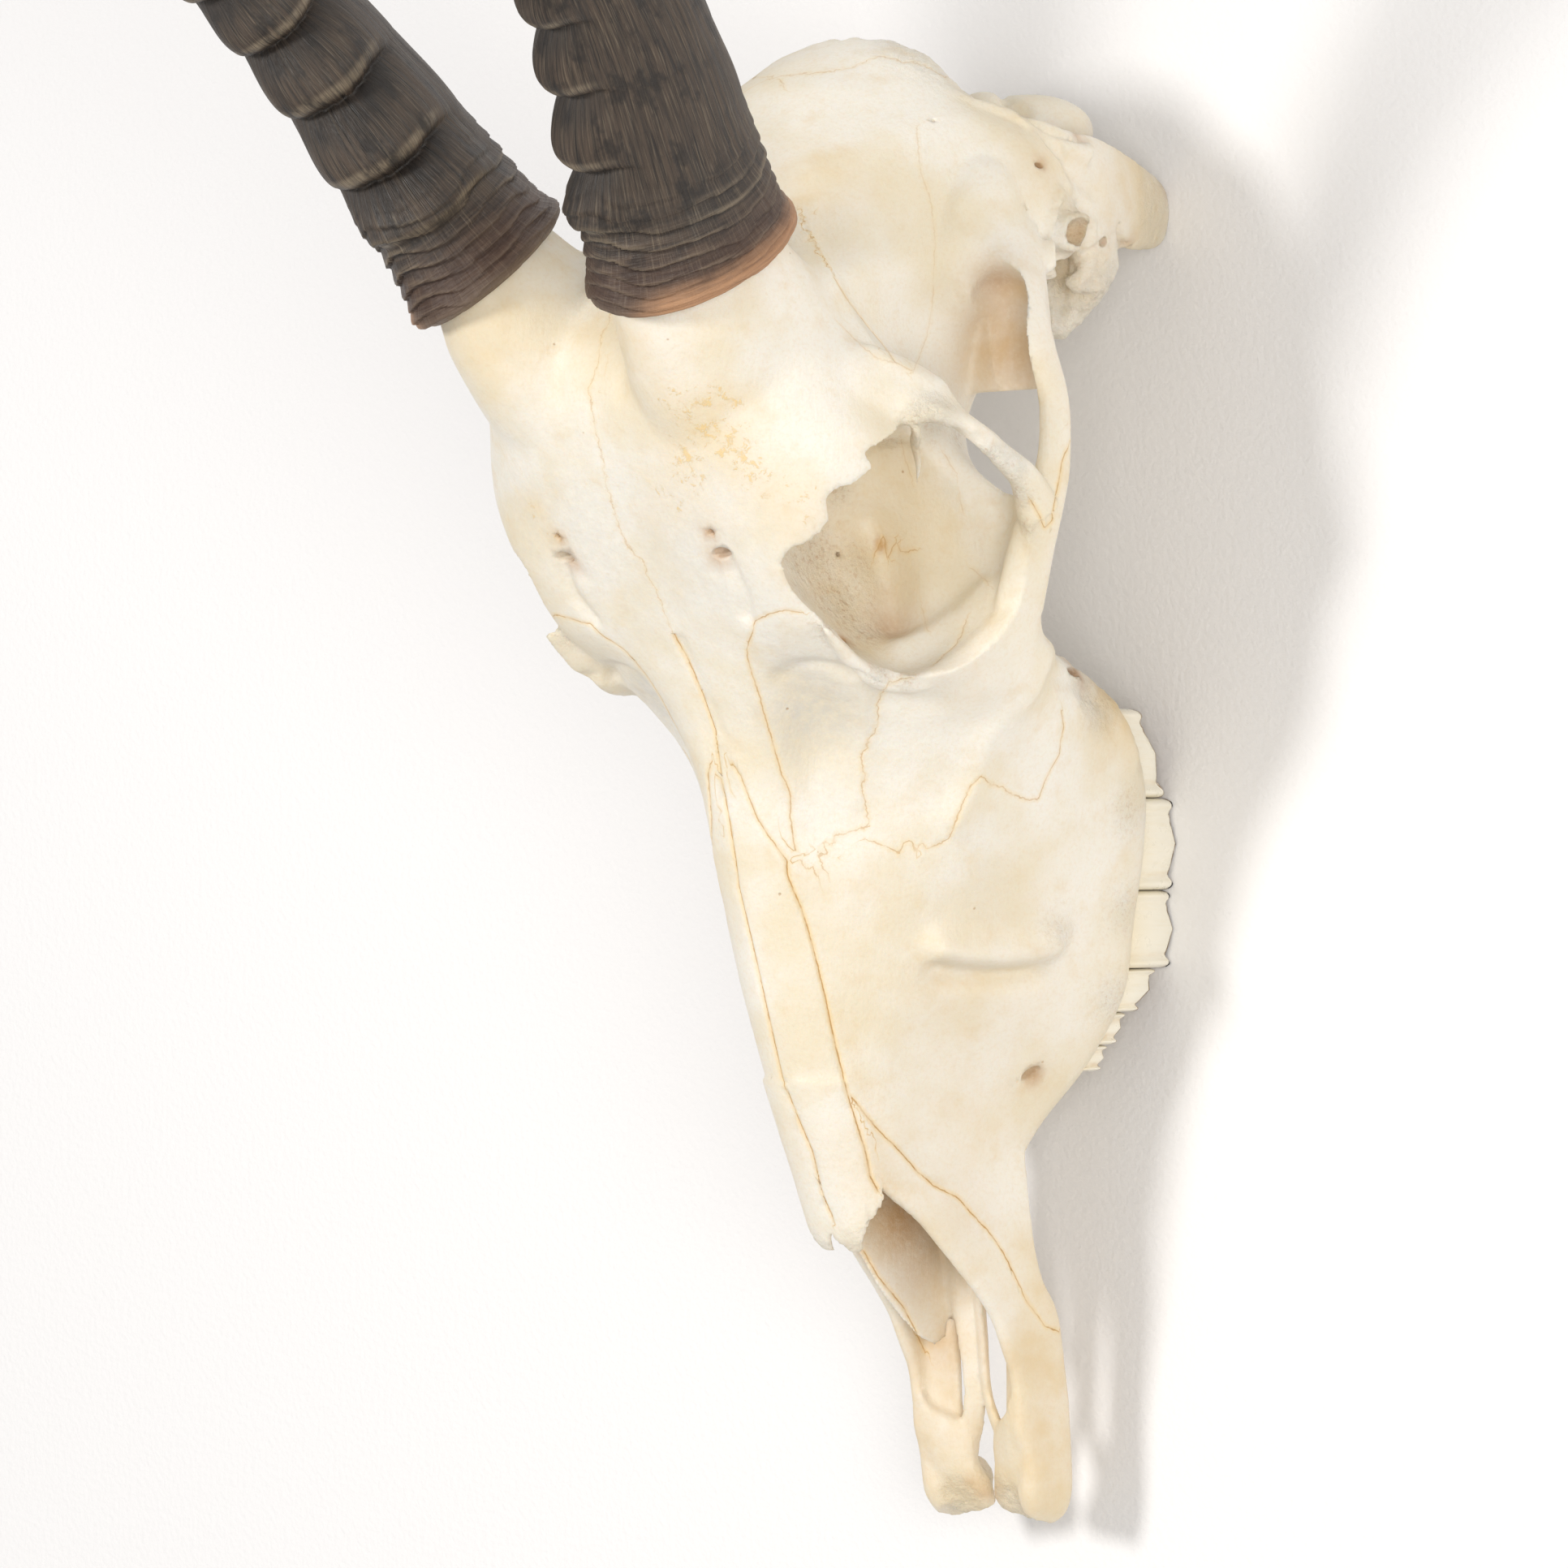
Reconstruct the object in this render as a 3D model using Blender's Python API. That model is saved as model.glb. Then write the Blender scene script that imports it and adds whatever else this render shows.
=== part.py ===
"""A blesbok skull without its lower jaw, with both horns, lying on its cheek teeth.

Every length in this file is in millimetres until the meshes are made. X points to the
animal's left, Y from the muzzle to the back of the head, Z up. The skull stands on Z = 0
with its worn molars and the tips of its two paroccipital processes.
"""

import math

import bmesh
import bpy
from mathutils import Vector

# Driving dimensions
millimetre = 0.001
middle_of_length = 195.3
gap = 0.4
ring_detail = 3
station_step = 4.0
skull_voxel = 1.6
skull_triangles = 4200

# Colour, roughness
bone_look = ((0.86, 0.76, 0.58, 1.0), 0.55)
horn_look = ((0.060, 0.046, 0.036, 1.0), 0.6)
enamel_look = ((0.83, 0.76, 0.61, 1.0), 0.35)

# Half outlines of the skull across its length, from the top of the midline down the left
# side to the bottom of the midline. Each is (Y, [(X, Z), ...]), and the same place in
# every list is the same line along the skull: midline, nasal edge, frontal edge, orbit,
# cheek, alveolar edge, palate, midline.
skull_sections = [
    (66, [(0, 77.5), (6, 76), (10, 72), (13, 66), (14.5, 60), (15.5, 53),
          (16.5, 46), (17, 40), (18, 31), (12, 28), (6, 30), (0, 31)]),
    (75, [(0, 81.5), (6, 80), (10.5, 75.5), (14, 69), (16, 62), (17.5, 54),
          (18.5, 46), (19, 38), (19, 27.5), (13, 24.5), (7, 28), (0, 30)]),
    (90, [(0, 87.5), (6, 86), (11, 81), (15.5, 74), (19, 65), (22, 55),
          (24.5, 44), (25.5, 34), (26, 19), (17, 15), (10, 22), (0, 25)]),
    (105, [(0, 92.5), (7, 90.5), (12.5, 85), (18, 77), (23, 68), (27.5, 57),
           (30.5, 45), (31.5, 33), (31.5, 16), (19, 13), (12, 21), (0, 24)]),
    (120, [(0, 96.5), (8, 94), (14, 88), (20.5, 80), (26.5, 71), (31.5, 60),
           (34, 47), (34.5, 34), (33.5, 15), (20, 12), (13, 21), (0, 24)]),
    (135, [(0, 100.5), (8.5, 98), (15, 91.5), (23, 83), (31, 73), (36, 62),
           (37.5, 48), (37, 33), (34.5, 13), (20, 11), (13, 21), (0, 25)]),
    (150, [(0, 103.7), (9, 102), (17, 95), (25.5, 86), (34, 77), (39.5, 66),
           (41, 52), (39, 35), (35, 13), (21, 11), (13, 22), (0, 26)]),
    (162, [(0, 107), (10, 106.5), (20, 100), (29, 92), (38, 83), (45, 73),
           (47, 60), (43, 42), (36, 20), (22, 14), (13, 24), (0, 28)]),
    (172, [(0, 112.3), (12, 112), (24, 108), (35, 101), (44, 94), (51, 84),
           (53, 70), (48, 55), (35, 30), (21, 20), (13, 28), (0, 33)]),
    (182, [(0, 118), (14, 118.5), (27, 118.5), (36, 116), (44, 105), (53, 89),
           (56.5, 74), (53, 64), (38, 54), (24, 42), (14, 40), (0, 44)]),
    (195, [(0, 125.5), (15, 126.5), (28, 127), (39.5, 124), (49, 112), (56, 95),
           (59, 78), (56, 68), (43, 60), (28, 52), (15, 46), (0, 48)]),
    (208, [(0, 133), (16, 134), (31, 132), (45, 126), (53, 114), (59, 99),
           (61.5, 82), (58, 71), (47, 66), (32, 60), (16, 54), (0, 53)]),
    (219, [(0, 138.5), (17, 139), (32, 136.5), (45, 128), (54, 116), (55, 104),
           (48, 95), (42, 87), (39, 79), (34, 67), (18, 56), (0, 52)]),
    (228, [(0, 141.5), (17, 142), (31, 140), (41, 132), (49, 120), (52, 107),
           (47, 98), (41, 89), (38, 79), (34, 66), (18, 52), (0, 48)]),
    (238, [(0, 140.5), (16, 142), (30, 142), (40, 135), (46, 122), (47, 108),
           (42, 98), (38, 86), (38, 72), (33, 58), (18, 45), (0, 41)]),
    (248, [(0, 135), (14, 136), (28, 138), (38, 132), (42, 120), (41, 108),
           (39, 96), (39, 84), (42, 70), (36, 52), (20, 38), (0, 32)]),
    (262, [(0, 124), (13, 122.5), (25, 117), (33, 107), (37, 97), (40, 86),
           (43, 74), (45.5, 62), (43, 48), (31, 36), (16, 28), (0, 26)]),
    (275, [(0, 113), (13, 111), (24, 105), (32, 96), (37, 87), (41, 77),
           (45, 66), (47, 56), (43, 44), (29, 34), (15, 27), (0, 25)]),
    (286, [(0, 102), (12, 99), (22, 92), (30, 84), (36, 76), (41, 68),
           (45, 60), (45, 52), (39, 42), (26, 34), (13, 29), (0, 27)]),
    (295, [(0, 93), (11, 89.5), (20, 83), (27, 75.5), (33, 69), (37, 63.5),
           (39, 57), (38, 50), (32, 42), (22, 35), (12, 32), (0, 33)]),
    (302, [(0, 81), (8, 79), (15, 75), (21, 70), (25, 66), (27.5, 62),
           (28, 57), (26, 51), (21, 46), (15, 42), (8, 40), (0, 40)]),
    (307, [(0, 71), (4, 70.5), (8, 69), (11, 66.5), (12.5, 64), (13, 61),
           (12.5, 57), (11, 53.5), (8.5, 51), (6, 49.5), (3, 49), (0, 49)]),
]

# The orbit's edge, and its hollow: how far in, and the size there as a share of the edge
orbit_rim = [(44.6, 171.9, 92.6), (49.4, 177.3, 82.5), (54.5, 186.4, 75.4), (58.2, 196.5, 74.3),
             (60.9, 206.4, 77.3), (61.6, 212.2, 82.4), (61.4, 218.1, 90.8), (60.3, 221.4, 99.0),
             (57.7, 220.6, 107.6), (54.0, 216.8, 116.7), (51.2, 210.3, 118.5), (47.4, 201.0, 122.1),
             (39.8, 195.4, 123.8), (37.7, 188.5, 119.0), (38.5, 182.5, 111.5), (39.0, 175.6, 102.0)]
orbit_outward = Vector((0.90, -0.33, 0.28))
orbit_profile = [(12, 1.06), (0, 1.0), (-8, 1.02), (-18, 0.90), (-27, 0.66), (-33, 0.38), (-36, 0.12)]
rim_radii = [2.0, 2.1, 2.1, 2.0, 1.9, 1.9, 1.9, 1.9, 1.9, 1.9, 1.8, 1.4, 1.1, 1.1, 1.3, 1.7]
rim_spread = 1.06

# Horns: the centre line of the left one and how far it has tapered along it
horn_line = [(29.6, 256, 142), (46.5, 307, 182), (61, 345, 230), (71, 372, 288), (74, 386, 352),
             (68, 388, 410), (58, 382, 455)]
horn_front = Vector((-0.40, -0.60, 0.70))
horn_thickness = [(0.0, 22.2, 16.8), (0.07, 20.0, 14.2), (0.18, 16.2, 11.0), (0.35, 14.2, 10.4),
                  (0.55, 11.6, 9.2), (0.75, 8.4, 7.2), (0.90, 5.2, 4.7), (0.985, 1.6, 1.5)]
horn_sides = 16
first_ring = 24.0
ring_spacing = 13.6
ring_count = 14
ring_height = 1.7
ring_fading = 0.45
horn_tip = 0.985
sheath_wall = 2.4
sheath_depth = 0.45
sheath_narrowing = 2.0
core_clearance = 1.5
core_narrowing = 3.0
pedicle = [(22, 212, 100, 22), (24, 228, 114, 25), (26.4, 240, 127, 23.5), (28.5, 250, 137.5, 20)]
pedicle_width = 0.78

# Cheek teeth of the left side: name, front and back, outer and inner face, worn end in
# front and behind. A worn molar's end is level, because the skull stands on it.
teeth = [
    ("premolar_2", 89.0, 94.6, 25.0, 17.5, 14.5, 12.0),
    ("premolar_3", 94.6, 101.6, 27.2, 17.5, 12.0, 8.6),
    ("premolar_4", 101.6, 110.8, 29.6, 17.0, 8.6, 2.6),
    ("molar_1", 110.8, 127.4, 31.2, 16.6, 0.0, 0.0),
    ("molar_2", 127.4, 147.0, 32.0, 17.0, 0.0, 0.0),
    ("molar_3", 147.0, 166.0, 31.4, 18.0, 1.6, 9.6),
]
root_top = 26.0
tooth_neck = 14.0
least_crown = 1.5
tooth_spacing = 0.35
tooth_lean = 0.9
tooth_corner = 0.9
molar_length = 8.0
deep_fold = 1.3
shallow_fold = 0.5
trench_bottom = -6.0
trench_end = 0.2


def clear_scene():
    for thing in list(bpy.data.objects):
        bpy.data.objects.remove(thing, do_unlink=True)


def material(name, look):
    colour, roughness = look
    made = bpy.data.materials.new(name)
    made.use_nodes = True
    shader = made.node_tree.nodes["Principled BSDF"]
    shader.inputs["Base Color"].default_value = colour
    shader.inputs["Roughness"].default_value = roughness
    shader.inputs["Metallic"].default_value = 0.0
    return made


def spline(points, share):
    """The point at a share, 0 to 1, of a smooth curve through the points."""
    last = len(points) - 1
    place = min(max(share, 0.0), 1.0) * last
    k = min(int(place), last - 1)
    t = place - k
    before, a, b, after = (
        Vector(points[min(max(k + step, 0), last)]) for step in (-1, 0, 1, 2)
    )
    return 0.5 * (
        2 * a
        + (b - before) * t
        + (2 * before - 5 * a + 4 * b - after) * t * t
        + (3 * a - before - 3 * b + after) * t * t * t
    )


def tapered(stops, place):
    """Values at a place, read along straight lines between stops of (place, value, ...)."""
    if place <= stops[0][0]:
        return stops[0][1:]
    for low, high in zip(stops, stops[1:]):
        if place <= high[0]:
            part = (place - low[0]) / (high[0] - low[0])
            return [a + (b - a) * part for a, b in zip(low[1:], high[1:])]
    return stops[-1][1:]


def mesh_object(name, rings, closed_ends=True):
    """A closed body through rings of points, each ring joined to the next."""
    bm = bmesh.new()
    rows = [[bm.verts.new(point * millimetre) for point in ring] for ring in rings]
    for low, high in zip(rows, rows[1:]):
        count = len(low)
        for i in range(count):
            j = (i + 1) % count
            bm.faces.new((low[i], low[j], high[j], high[i]))
    if closed_ends:
        bm.faces.new(list(reversed(rows[0])))
        bm.faces.new(rows[-1])
    bmesh.ops.translate(bm, verts=bm.verts, vec=(0, -middle_of_length * millimetre, 0))
    bmesh.ops.recalc_face_normals(bm, faces=bm.faces)
    mesh = bpy.data.meshes.new(name)
    bm.to_mesh(mesh)
    bm.free()
    made = bpy.data.objects.new(name, mesh)
    bpy.context.scene.collection.objects.link(made)
    return made


def mirrored(thing, name):
    """The same body on the animal's right side."""
    bm = bmesh.new()
    bm.from_mesh(thing.data)
    bmesh.ops.scale(bm, verts=bm.verts, vec=(-1, 1, 1))
    bmesh.ops.reverse_faces(bm, faces=bm.faces)
    mesh = bpy.data.meshes.new(name)
    bm.to_mesh(mesh)
    bm.free()
    made = bpy.data.objects.new(name, mesh)
    bpy.context.scene.collection.objects.link(made)
    return made


def both_sides(things):
    return things + [mirrored(thing, thing.name + "_right") for thing in things]


def tube(name, path, sides=12, steps=24, flat=None, closed=False):
    """A rod along a smooth path of (X, Y, Z, radius). With flat=(direction, share), it is
    thinner along that direction, by that share."""
    stops = [Vector(stop) for stop in path]
    if closed:
        stops = stops + [stops[0]]
    rings = []
    for k in range(steps + 1):
        here = spline(stops, k / steps)
        ahead = spline(stops, min(k / steps + 0.01, 1.0)) - spline(stops, max(k / steps - 0.01, 0.0))
        along = Vector(ahead[:3]).normalized()
        guide = Vector(flat[0]) if flat else Vector((0.31, 0.17, 0.93))
        thin = (guide - along * guide.dot(along)).normalized()
        wide = along.cross(thin)
        share = flat[1] if flat else 1.0
        ring = []
        for i in range(sides):
            turn = 2 * math.pi * i / sides
            ring.append(
                Vector(here[:3])
                + wide * here[3] * math.cos(turn)
                + thin * here[3] * share * math.sin(turn)
            )
        rings.append(ring)
    if not closed:
        return mesh_object(name, rings)
    rings[-1] = rings[0]
    return ring_body(name, rings[:-1])


def ring_body(name, rings):
    """A body whose last ring meets its first."""
    made = mesh_object(name, rings, closed_ends=False)
    bm = bmesh.new()
    bm.from_mesh(made.data)
    bm.verts.ensure_lookup_table()
    count = len(rings[0])
    first = [bm.verts[i] for i in range(count)]
    last = [bm.verts[len(bm.verts) - count + i] for i in range(count)]
    for i in range(count):
        j = (i + 1) % count
        bm.faces.new((last[i], last[j], first[j], first[i]))
    bmesh.ops.recalc_face_normals(bm, faces=bm.faces)
    bm.to_mesh(made.data)
    bm.free()
    return made


def blob(name, centre, radii):
    """An ellipsoid."""
    bm = bmesh.new()
    bmesh.ops.create_icosphere(bm, subdivisions=3, radius=1.0)
    bmesh.ops.scale(bm, verts=bm.verts, vec=Vector(radii) * millimetre)
    shift = Vector(centre) - Vector((0, middle_of_length, 0))
    bmesh.ops.translate(bm, verts=bm.verts, vec=shift * millimetre)
    mesh = bpy.data.meshes.new(name)
    bm.to_mesh(mesh)
    bm.free()
    made = bpy.data.objects.new(name, mesh)
    bpy.context.scene.collection.objects.link(made)
    return made


def joined(name, things):
    """One object that holds the meshes of all the things."""
    bm = bmesh.new()
    for thing in things:
        bm.from_mesh(thing.data)
        bpy.data.objects.remove(thing, do_unlink=True)
    mesh = bpy.data.meshes.new(name)
    bm.to_mesh(mesh)
    bm.free()
    made = bpy.data.objects.new(name, mesh)
    bpy.context.scene.collection.objects.link(made)
    return made


def fused(thing, voxel, smoothing):
    """Overlapping bodies grown into one, with its surface evened out."""
    remesh = thing.modifiers.new("grown_together", "REMESH")
    remesh.mode = "VOXEL"
    remesh.voxel_size = voxel * millimetre
    smooth = thing.modifiers.new("evened", "SMOOTH")
    smooth.factor = 0.5
    smooth.iterations = smoothing
    settle(thing)


def settle(thing):
    """Makes the modifiers' result the object's own mesh."""
    graph = bpy.context.evaluated_depsgraph_get()
    mesh = bpy.data.meshes.new_from_object(thing.evaluated_get(graph))
    thing.modifiers.clear()
    thing.data = mesh


def cut(thing, tool):
    """Takes the tool's body out of the thing, and keeps the tool as a hidden guide."""
    modifier = thing.modifiers.new("without_" + tool.name, "BOOLEAN")
    modifier.operation = "DIFFERENCE"
    modifier.solver = "EXACT"
    modifier.object = tool
    tool.hide_render = True
    tool.display_type = "WIRE"


def skull_body():
    """The face and the braincase, one smooth body from the nasal opening to the occiput."""
    stops = [y for y, half in skull_sections]
    corners = len(skull_sections[0][1])
    around = (corners - 1) * ring_detail
    rings = []
    steps = round((stops[-1] - stops[0]) / station_step)
    for step in range(steps + 1):
        y = stops[0] + (stops[-1] - stops[0]) * step / steps
        k = max(i for i, stop in enumerate(stops[:-1]) if stop <= y)
        share = (k + (y - stops[k]) / (stops[k + 1] - stops[k])) / (len(stops) - 1)
        outline = []
        for corner in range(corners):
            line = [(half[corner][0], stop, half[corner][1]) for stop, half in skull_sections]
            point = spline(line, share)
            outline.append((point.x, y, point.z))
        left = [spline(outline, i / around) for i in range(around + 1)]
        right = [Vector((-p.x, p.y, p.z)) for p in reversed(left[1:-1])]
        rings.append(left + right)
    return mesh_object("skull_body", rings)


def horn_frame(share):
    """The horn's centre at a share of its length, with its front, side and lengthwise directions."""
    here = spline(horn_line, share)
    ahead = spline(horn_line, min(share + 0.01, 1.0))
    behind = spline(horn_line, max(share - 0.01, 0.0))
    along = (ahead - behind).normalized()
    front = (horn_front - along * horn_front.dot(along)).normalized()
    return here, front, along.cross(front), along


def horn_length():
    count = 100
    return sum(
        (spline(horn_line, (k + 1) / count) - spline(horn_line, k / count)).length
        for k in range(count)
    )


def horn_ring(share, swell, shrink=0.0):
    """One ring of points round the horn. The swell is in millimetres on the front."""
    here, front, side, _ = horn_frame(share)
    long_radius, short_radius = tapered(horn_thickness, share)
    ring = []
    for i in range(horn_sides):
        turn = 2 * math.pi * i / horn_sides
        ridge = swell * (0.55 + 0.45 * math.cos(turn))
        ring.append(
            here
            + front * math.cos(turn) * (long_radius - shrink + ridge)
            + side * math.sin(turn) * (short_radius - shrink + ridge)
        )
    return ring


def horn_stations(length):
    """Shares of the length with the ridge's swell at each: three to every ridge."""
    stations = [(0.0, 0.4), (8.0 / length, 0.9), (15.0 / length, 0.0)]
    for k in range(ring_count):
        place = first_ring + k * ring_spacing
        height = ring_height * (1.0 - ring_fading * k / ring_count)
        stations.append(((place - 0.28 * ring_spacing) / length, 0.0))
        stations.append((place / length, height))
        stations.append(((place + 0.22 * ring_spacing) / length, 0.55 * height))
    smooth_start = stations[-1][0] + 0.02
    for k in range(8):
        stations.append((smooth_start + (horn_tip - smooth_start) * k / 7, 0.0))
    return stations


def sheath(name):
    """The horn's keratin sheath: ridged outside, and hollow where the core sits."""
    rings = [horn_ring(share, swell) for share, swell in horn_stations(horn_length())]
    inner = []
    for k in range(7):
        share = sheath_depth * k / 6
        inner.append(horn_ring(share, 0.0, shrink=sheath_wall + sheath_narrowing * (k / 6) ** 3))
    return mesh_object(name, list(reversed(inner)) + rings)


def horn_core():
    """The bony core inside the sheath, and the pedicle that it grows from."""
    length_in_sheath = sheath_depth - 0.02
    rings = []
    for k in range(7):
        share = length_in_sheath * k / 6
        shrink = sheath_wall + core_clearance + core_narrowing * k / 6
        rings.append(horn_ring(share, 0.0, shrink=shrink))
    stem = []
    front, side = horn_frame(0.0)[1:3]
    for x, y, z, radius in pedicle:
        centre = Vector((x, y, z))
        stem.append([
            centre
            + front * math.cos(2 * math.pi * i / horn_sides) * radius
            + side * math.sin(2 * math.pi * i / horn_sides) * radius * pedicle_width
            for i in range(horn_sides)
        ])
    return mesh_object("horn_core", stem + rings)


def sheath_room(name):
    """What is taken from the skull round the foot of the sheath."""
    rings = [horn_ring(share, 0.9, shrink=-1.0) for share in (-0.004, 0.012, 0.03, 0.06, 0.10)]
    inner = [horn_ring(share, 0.0, shrink=sheath_wall + 0.9)
             for share in (0.10, 0.06, 0.03, 0.012, -0.004)]
    foot = horn_frame(0.0)[3] * -1.2
    for ring in (rings[0], inner[-1]):
        for k, point in enumerate(ring):
            ring[k] = point + foot
    return ring_body(name, rings + inner)


def premaxilla():
    """One of the two long thin bones that carry the muzzle, with its rod on the palate."""
    blade = [(16.5, 86, 49, 18), (16.2, 72, 48, 20.5), (15.8, 58, 45, 17), (15.6, 45, 37.5, 12),
             (15.2, 32, 31, 9.6), (14.6, 18, 26.3, 8.4), (13.4, 6, 24, 7.8), (10.5, -3.4, 22.5, 5.4)]
    plate = tube("premaxilla", blade, sides=14, steps=22, flat=((0.97, 0, 0.2), 0.25))
    tip = blob("premaxilla_tip", (10.0, 1.5, 21.5), (6.0, 8.0, 5.2))
    rod = tube("palate_rod", [(4.0, 60, 27, 3.0), (3.4, 40, 24, 1.9), (4.0, 22, 21.5, 1.7),
                              (7.0, 6, 20.5, 2.0)], sides=8, steps=12)
    return [plate, tip, rod]


def nasal_tip():
    """The free end of one nasal bone, a thin roof over the nasal opening."""
    roof = tube("nasal_tip", [(6.0, 80, 77.0, 5.0), (6.0, 68, 73.6, 6.2), (5.6, 58, 70.0, 5.0),
                              (4.8, 52.5, 67.0, 2.0)], sides=12, steps=12, flat=((0.30, -0.25, 0.92), 0.36))
    lobe = tube("nasal_lobe", [(13, 80, 68, 5), (13.4, 72, 64.5, 4.0), (13.2, 65, 62.0, 2.0)],
                sides=8, steps=8, flat=((0.8, 0, 0.5), 0.45))
    return [roof, lobe]


def brow_and_cheek():
    """The bars round the orbit: its rim, the postorbital bar and the zygomatic arch."""
    middle = orbit_middle()
    edge = [middle + (Vector(point) - middle) * rim_spread for point in orbit_rim]
    rim = tube("orbit_rim", [(p.x, p.y, p.z, radius) for p, radius in zip(edge, rim_radii)],
               sides=8, steps=40, closed=True)
    bar = tube("postorbital_bar", [(54, 222, 117, 4.0), (59.5, 226, 106, 3.4), (61.5, 225, 94, 3.2),
                                   (61.5, 217, 82, 3.6), (60, 206, 73, 4.6)], sides=10, steps=16)
    arch = tube("zygomatic_arch", [(53, 186, 71, 5.5), (57, 200, 71, 5.2), (59.5, 214, 68, 4.0),
                                   (59.5, 228, 67.5, 3.6), (57.5, 240, 70.5, 4.2), (53, 251, 71, 6.0),
                                   (46, 262, 65, 8.5)],
                sides=12, steps=26, flat=((1, 0, 0.25), 0.66))
    shelf = blob("arch_root", (47, 249, 65), (12, 17, 5.5))
    temporal = blob("temporal_swelling", (40.5, 260, 69), (7.5, 18, 13))
    return [rim, bar, arch, shelf, temporal]


def skull_base():
    """The knobs and blades under the braincase."""
    condyle = blob("occipital_condyle", (14.5, 289.5, 25.5), (10, 11, 12.5))
    throat = blob("condyle_root", (11, 278, 27), (11, 14, 9))
    blade = [(42, 276, 48, 13), (40.5, 274, 34, 12.5), (36, 271.5, 18, 10.5), (31.3, 270, 4.5, 8.5),
             (29.8, 269.5, 0.6, 6.8)]
    paroccipital = tube("paroccipital_process", blade, sides=14, steps=18, flat=((0.93, 0, -0.37), 0.34))
    bulla = blob("bulla", (28.5, 256, 33), (8.5, 11, 11.5))
    spur = tube("muscular_process", [(30, 254, 40, 5), (30, 249, 35, 3.2), (29.5, 246, 32, 1.6)],
                sides=8, steps=8)
    ear = tube("ear_opening", [(38, 264, 47, 6.5), (43.5, 265.5, 49, 6.0), (47.6, 266, 50, 4.6)],
               sides=12, steps=8)
    pterygoid = tube("pterygoid_plate", [(15, 170, 30, 9), (13, 182, 34, 10), (12.5, 194, 41, 10.5),
                                         (13, 206, 49, 9), (15, 220, 56, 7)],
                     sides=12, steps=16, flat=((1, 0, 0), 0.28))
    crest = tube("nuchal_crest", [(2, 307, 67, 3.4), (14, 304.5, 70, 3.2), (25, 299.5, 70.5, 3.0),
                                  (35, 293.5, 68, 3.0), (43, 287.5, 60, 3.2), (46, 282, 50, 4.0)],
                 sides=8, steps=18)
    return [condyle, throat, paroccipital, bulla, spur, ear, pterygoid, crest]


def orbit_middle():
    return sum((Vector(point) for point in orbit_rim), Vector()) / len(orbit_rim)


def orbit_cutter():
    """The eye socket's hollow, and its opening to the temple behind the bar."""
    middle = orbit_middle()
    loop = [Vector(point) for point in orbit_rim]
    loop.append(loop[0])
    edge = [spline(loop, i / 32) for i in range(32)]
    rings = []
    for depth, share in orbit_profile:
        centre = middle + orbit_outward.normalized() * depth
        rings.append([centre + (point - middle) * share for point in edge])
    socket = mesh_object("orbit_hollow", rings)
    temple = tube("temple_hollow", [(44, 206, 92, 11), (47, 216, 88, 13), (49, 225, 80, 12.5),
                                    (49, 230, 70, 11), (48, 226, 56, 11)],
                  sides=16, steps=20, flat=((1, 0, 0), 0.9))
    return [socket, temple]


def nose_cutter():
    """The nasal cavity, open in front and wide behind the nasal bones."""
    return tube("nasal_cavity", [(0, 46, 50, 22), (0, 66, 54, 19.5), (0, 84, 56, 21), (0, 104, 57, 24),
                                 (0, 122, 58, 20), (0, 130, 58, 8)],
                sides=24, steps=24, flat=((1, 0, 0), 0.60))


def throat_cutter():
    """The choanae, the opening behind the palate, between the pterygoid plates."""
    return tube("choanae", [(0, 168, 33, 7), (0, 186, 36, 11), (0, 206, 38, 11), (0, 224, 34, 10),
                            (0, 240, 26, 8)], sides=16, steps=16, flat=((1, 0, 0), 0.8))


def brain_cutter():
    """The foramen magnum and the braincase's hollow behind it."""
    return tube("foramen_magnum", [(0, 312, 34, 9.5), (0, 298, 36, 9.5), (0, 288, 40, 10), (0, 276, 52, 18),
                                   (0, 262, 62, 23), (0, 248, 70, 22), (0, 238, 74, 12)],
                sides=20, steps=24)


def ground_cutter():
    """What lies under the surface that the skull rests on: it wears the lowest tips level."""
    low, high = -20.0, 0.0
    corners = [(-80, -20), (80, -20), (80, 330), (-80, 330)]
    return mesh_object("ground", [[Vector((x, y, z)) for x, y in corners] for z in (low, high)])


def foramina_cutters():
    """The nerve openings on the forehead and on the cheek, and the ear's."""
    brow = tube("supraorbital_foramen", [(23.5, 192, 132, 2.6), (24.5, 197, 124, 2.2),
                                         (25, 202, 117, 1.6)], sides=8, steps=6)
    cheek = tube("infraorbital_foramen", [(27.5, 84, 36, 2.4), (22, 92, 37, 2.6), (17, 100, 38, 2.0)],
                 sides=8, steps=6)
    ear = tube("ear_hole", [(52, 266.5, 51, 2.8), (45, 265.5, 49.2, 2.8), (38, 264, 46.5, 2.0)],
               sides=8, steps=6)
    return [brow, cheek, ear]


def tooth_outline(front, back, outer, inner):
    """The plan of a cheek tooth: two lobes with a fold between them on both faces."""
    middle = (front + back) / 2
    fold = deep_fold if back - front > molar_length else shallow_fold
    low = front + tooth_spacing
    high = back - tooth_spacing
    corner = tooth_corner
    return [
        (outer - corner, low), (outer, low + corner), (outer, middle - fold), (outer - fold, middle),
        (outer, middle + fold), (outer, high - corner), (outer - corner, high), (inner + corner, high),
        (inner, high - corner), (inner + fold, middle), (inner, low + corner), (inner + corner, low),
    ]


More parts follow.
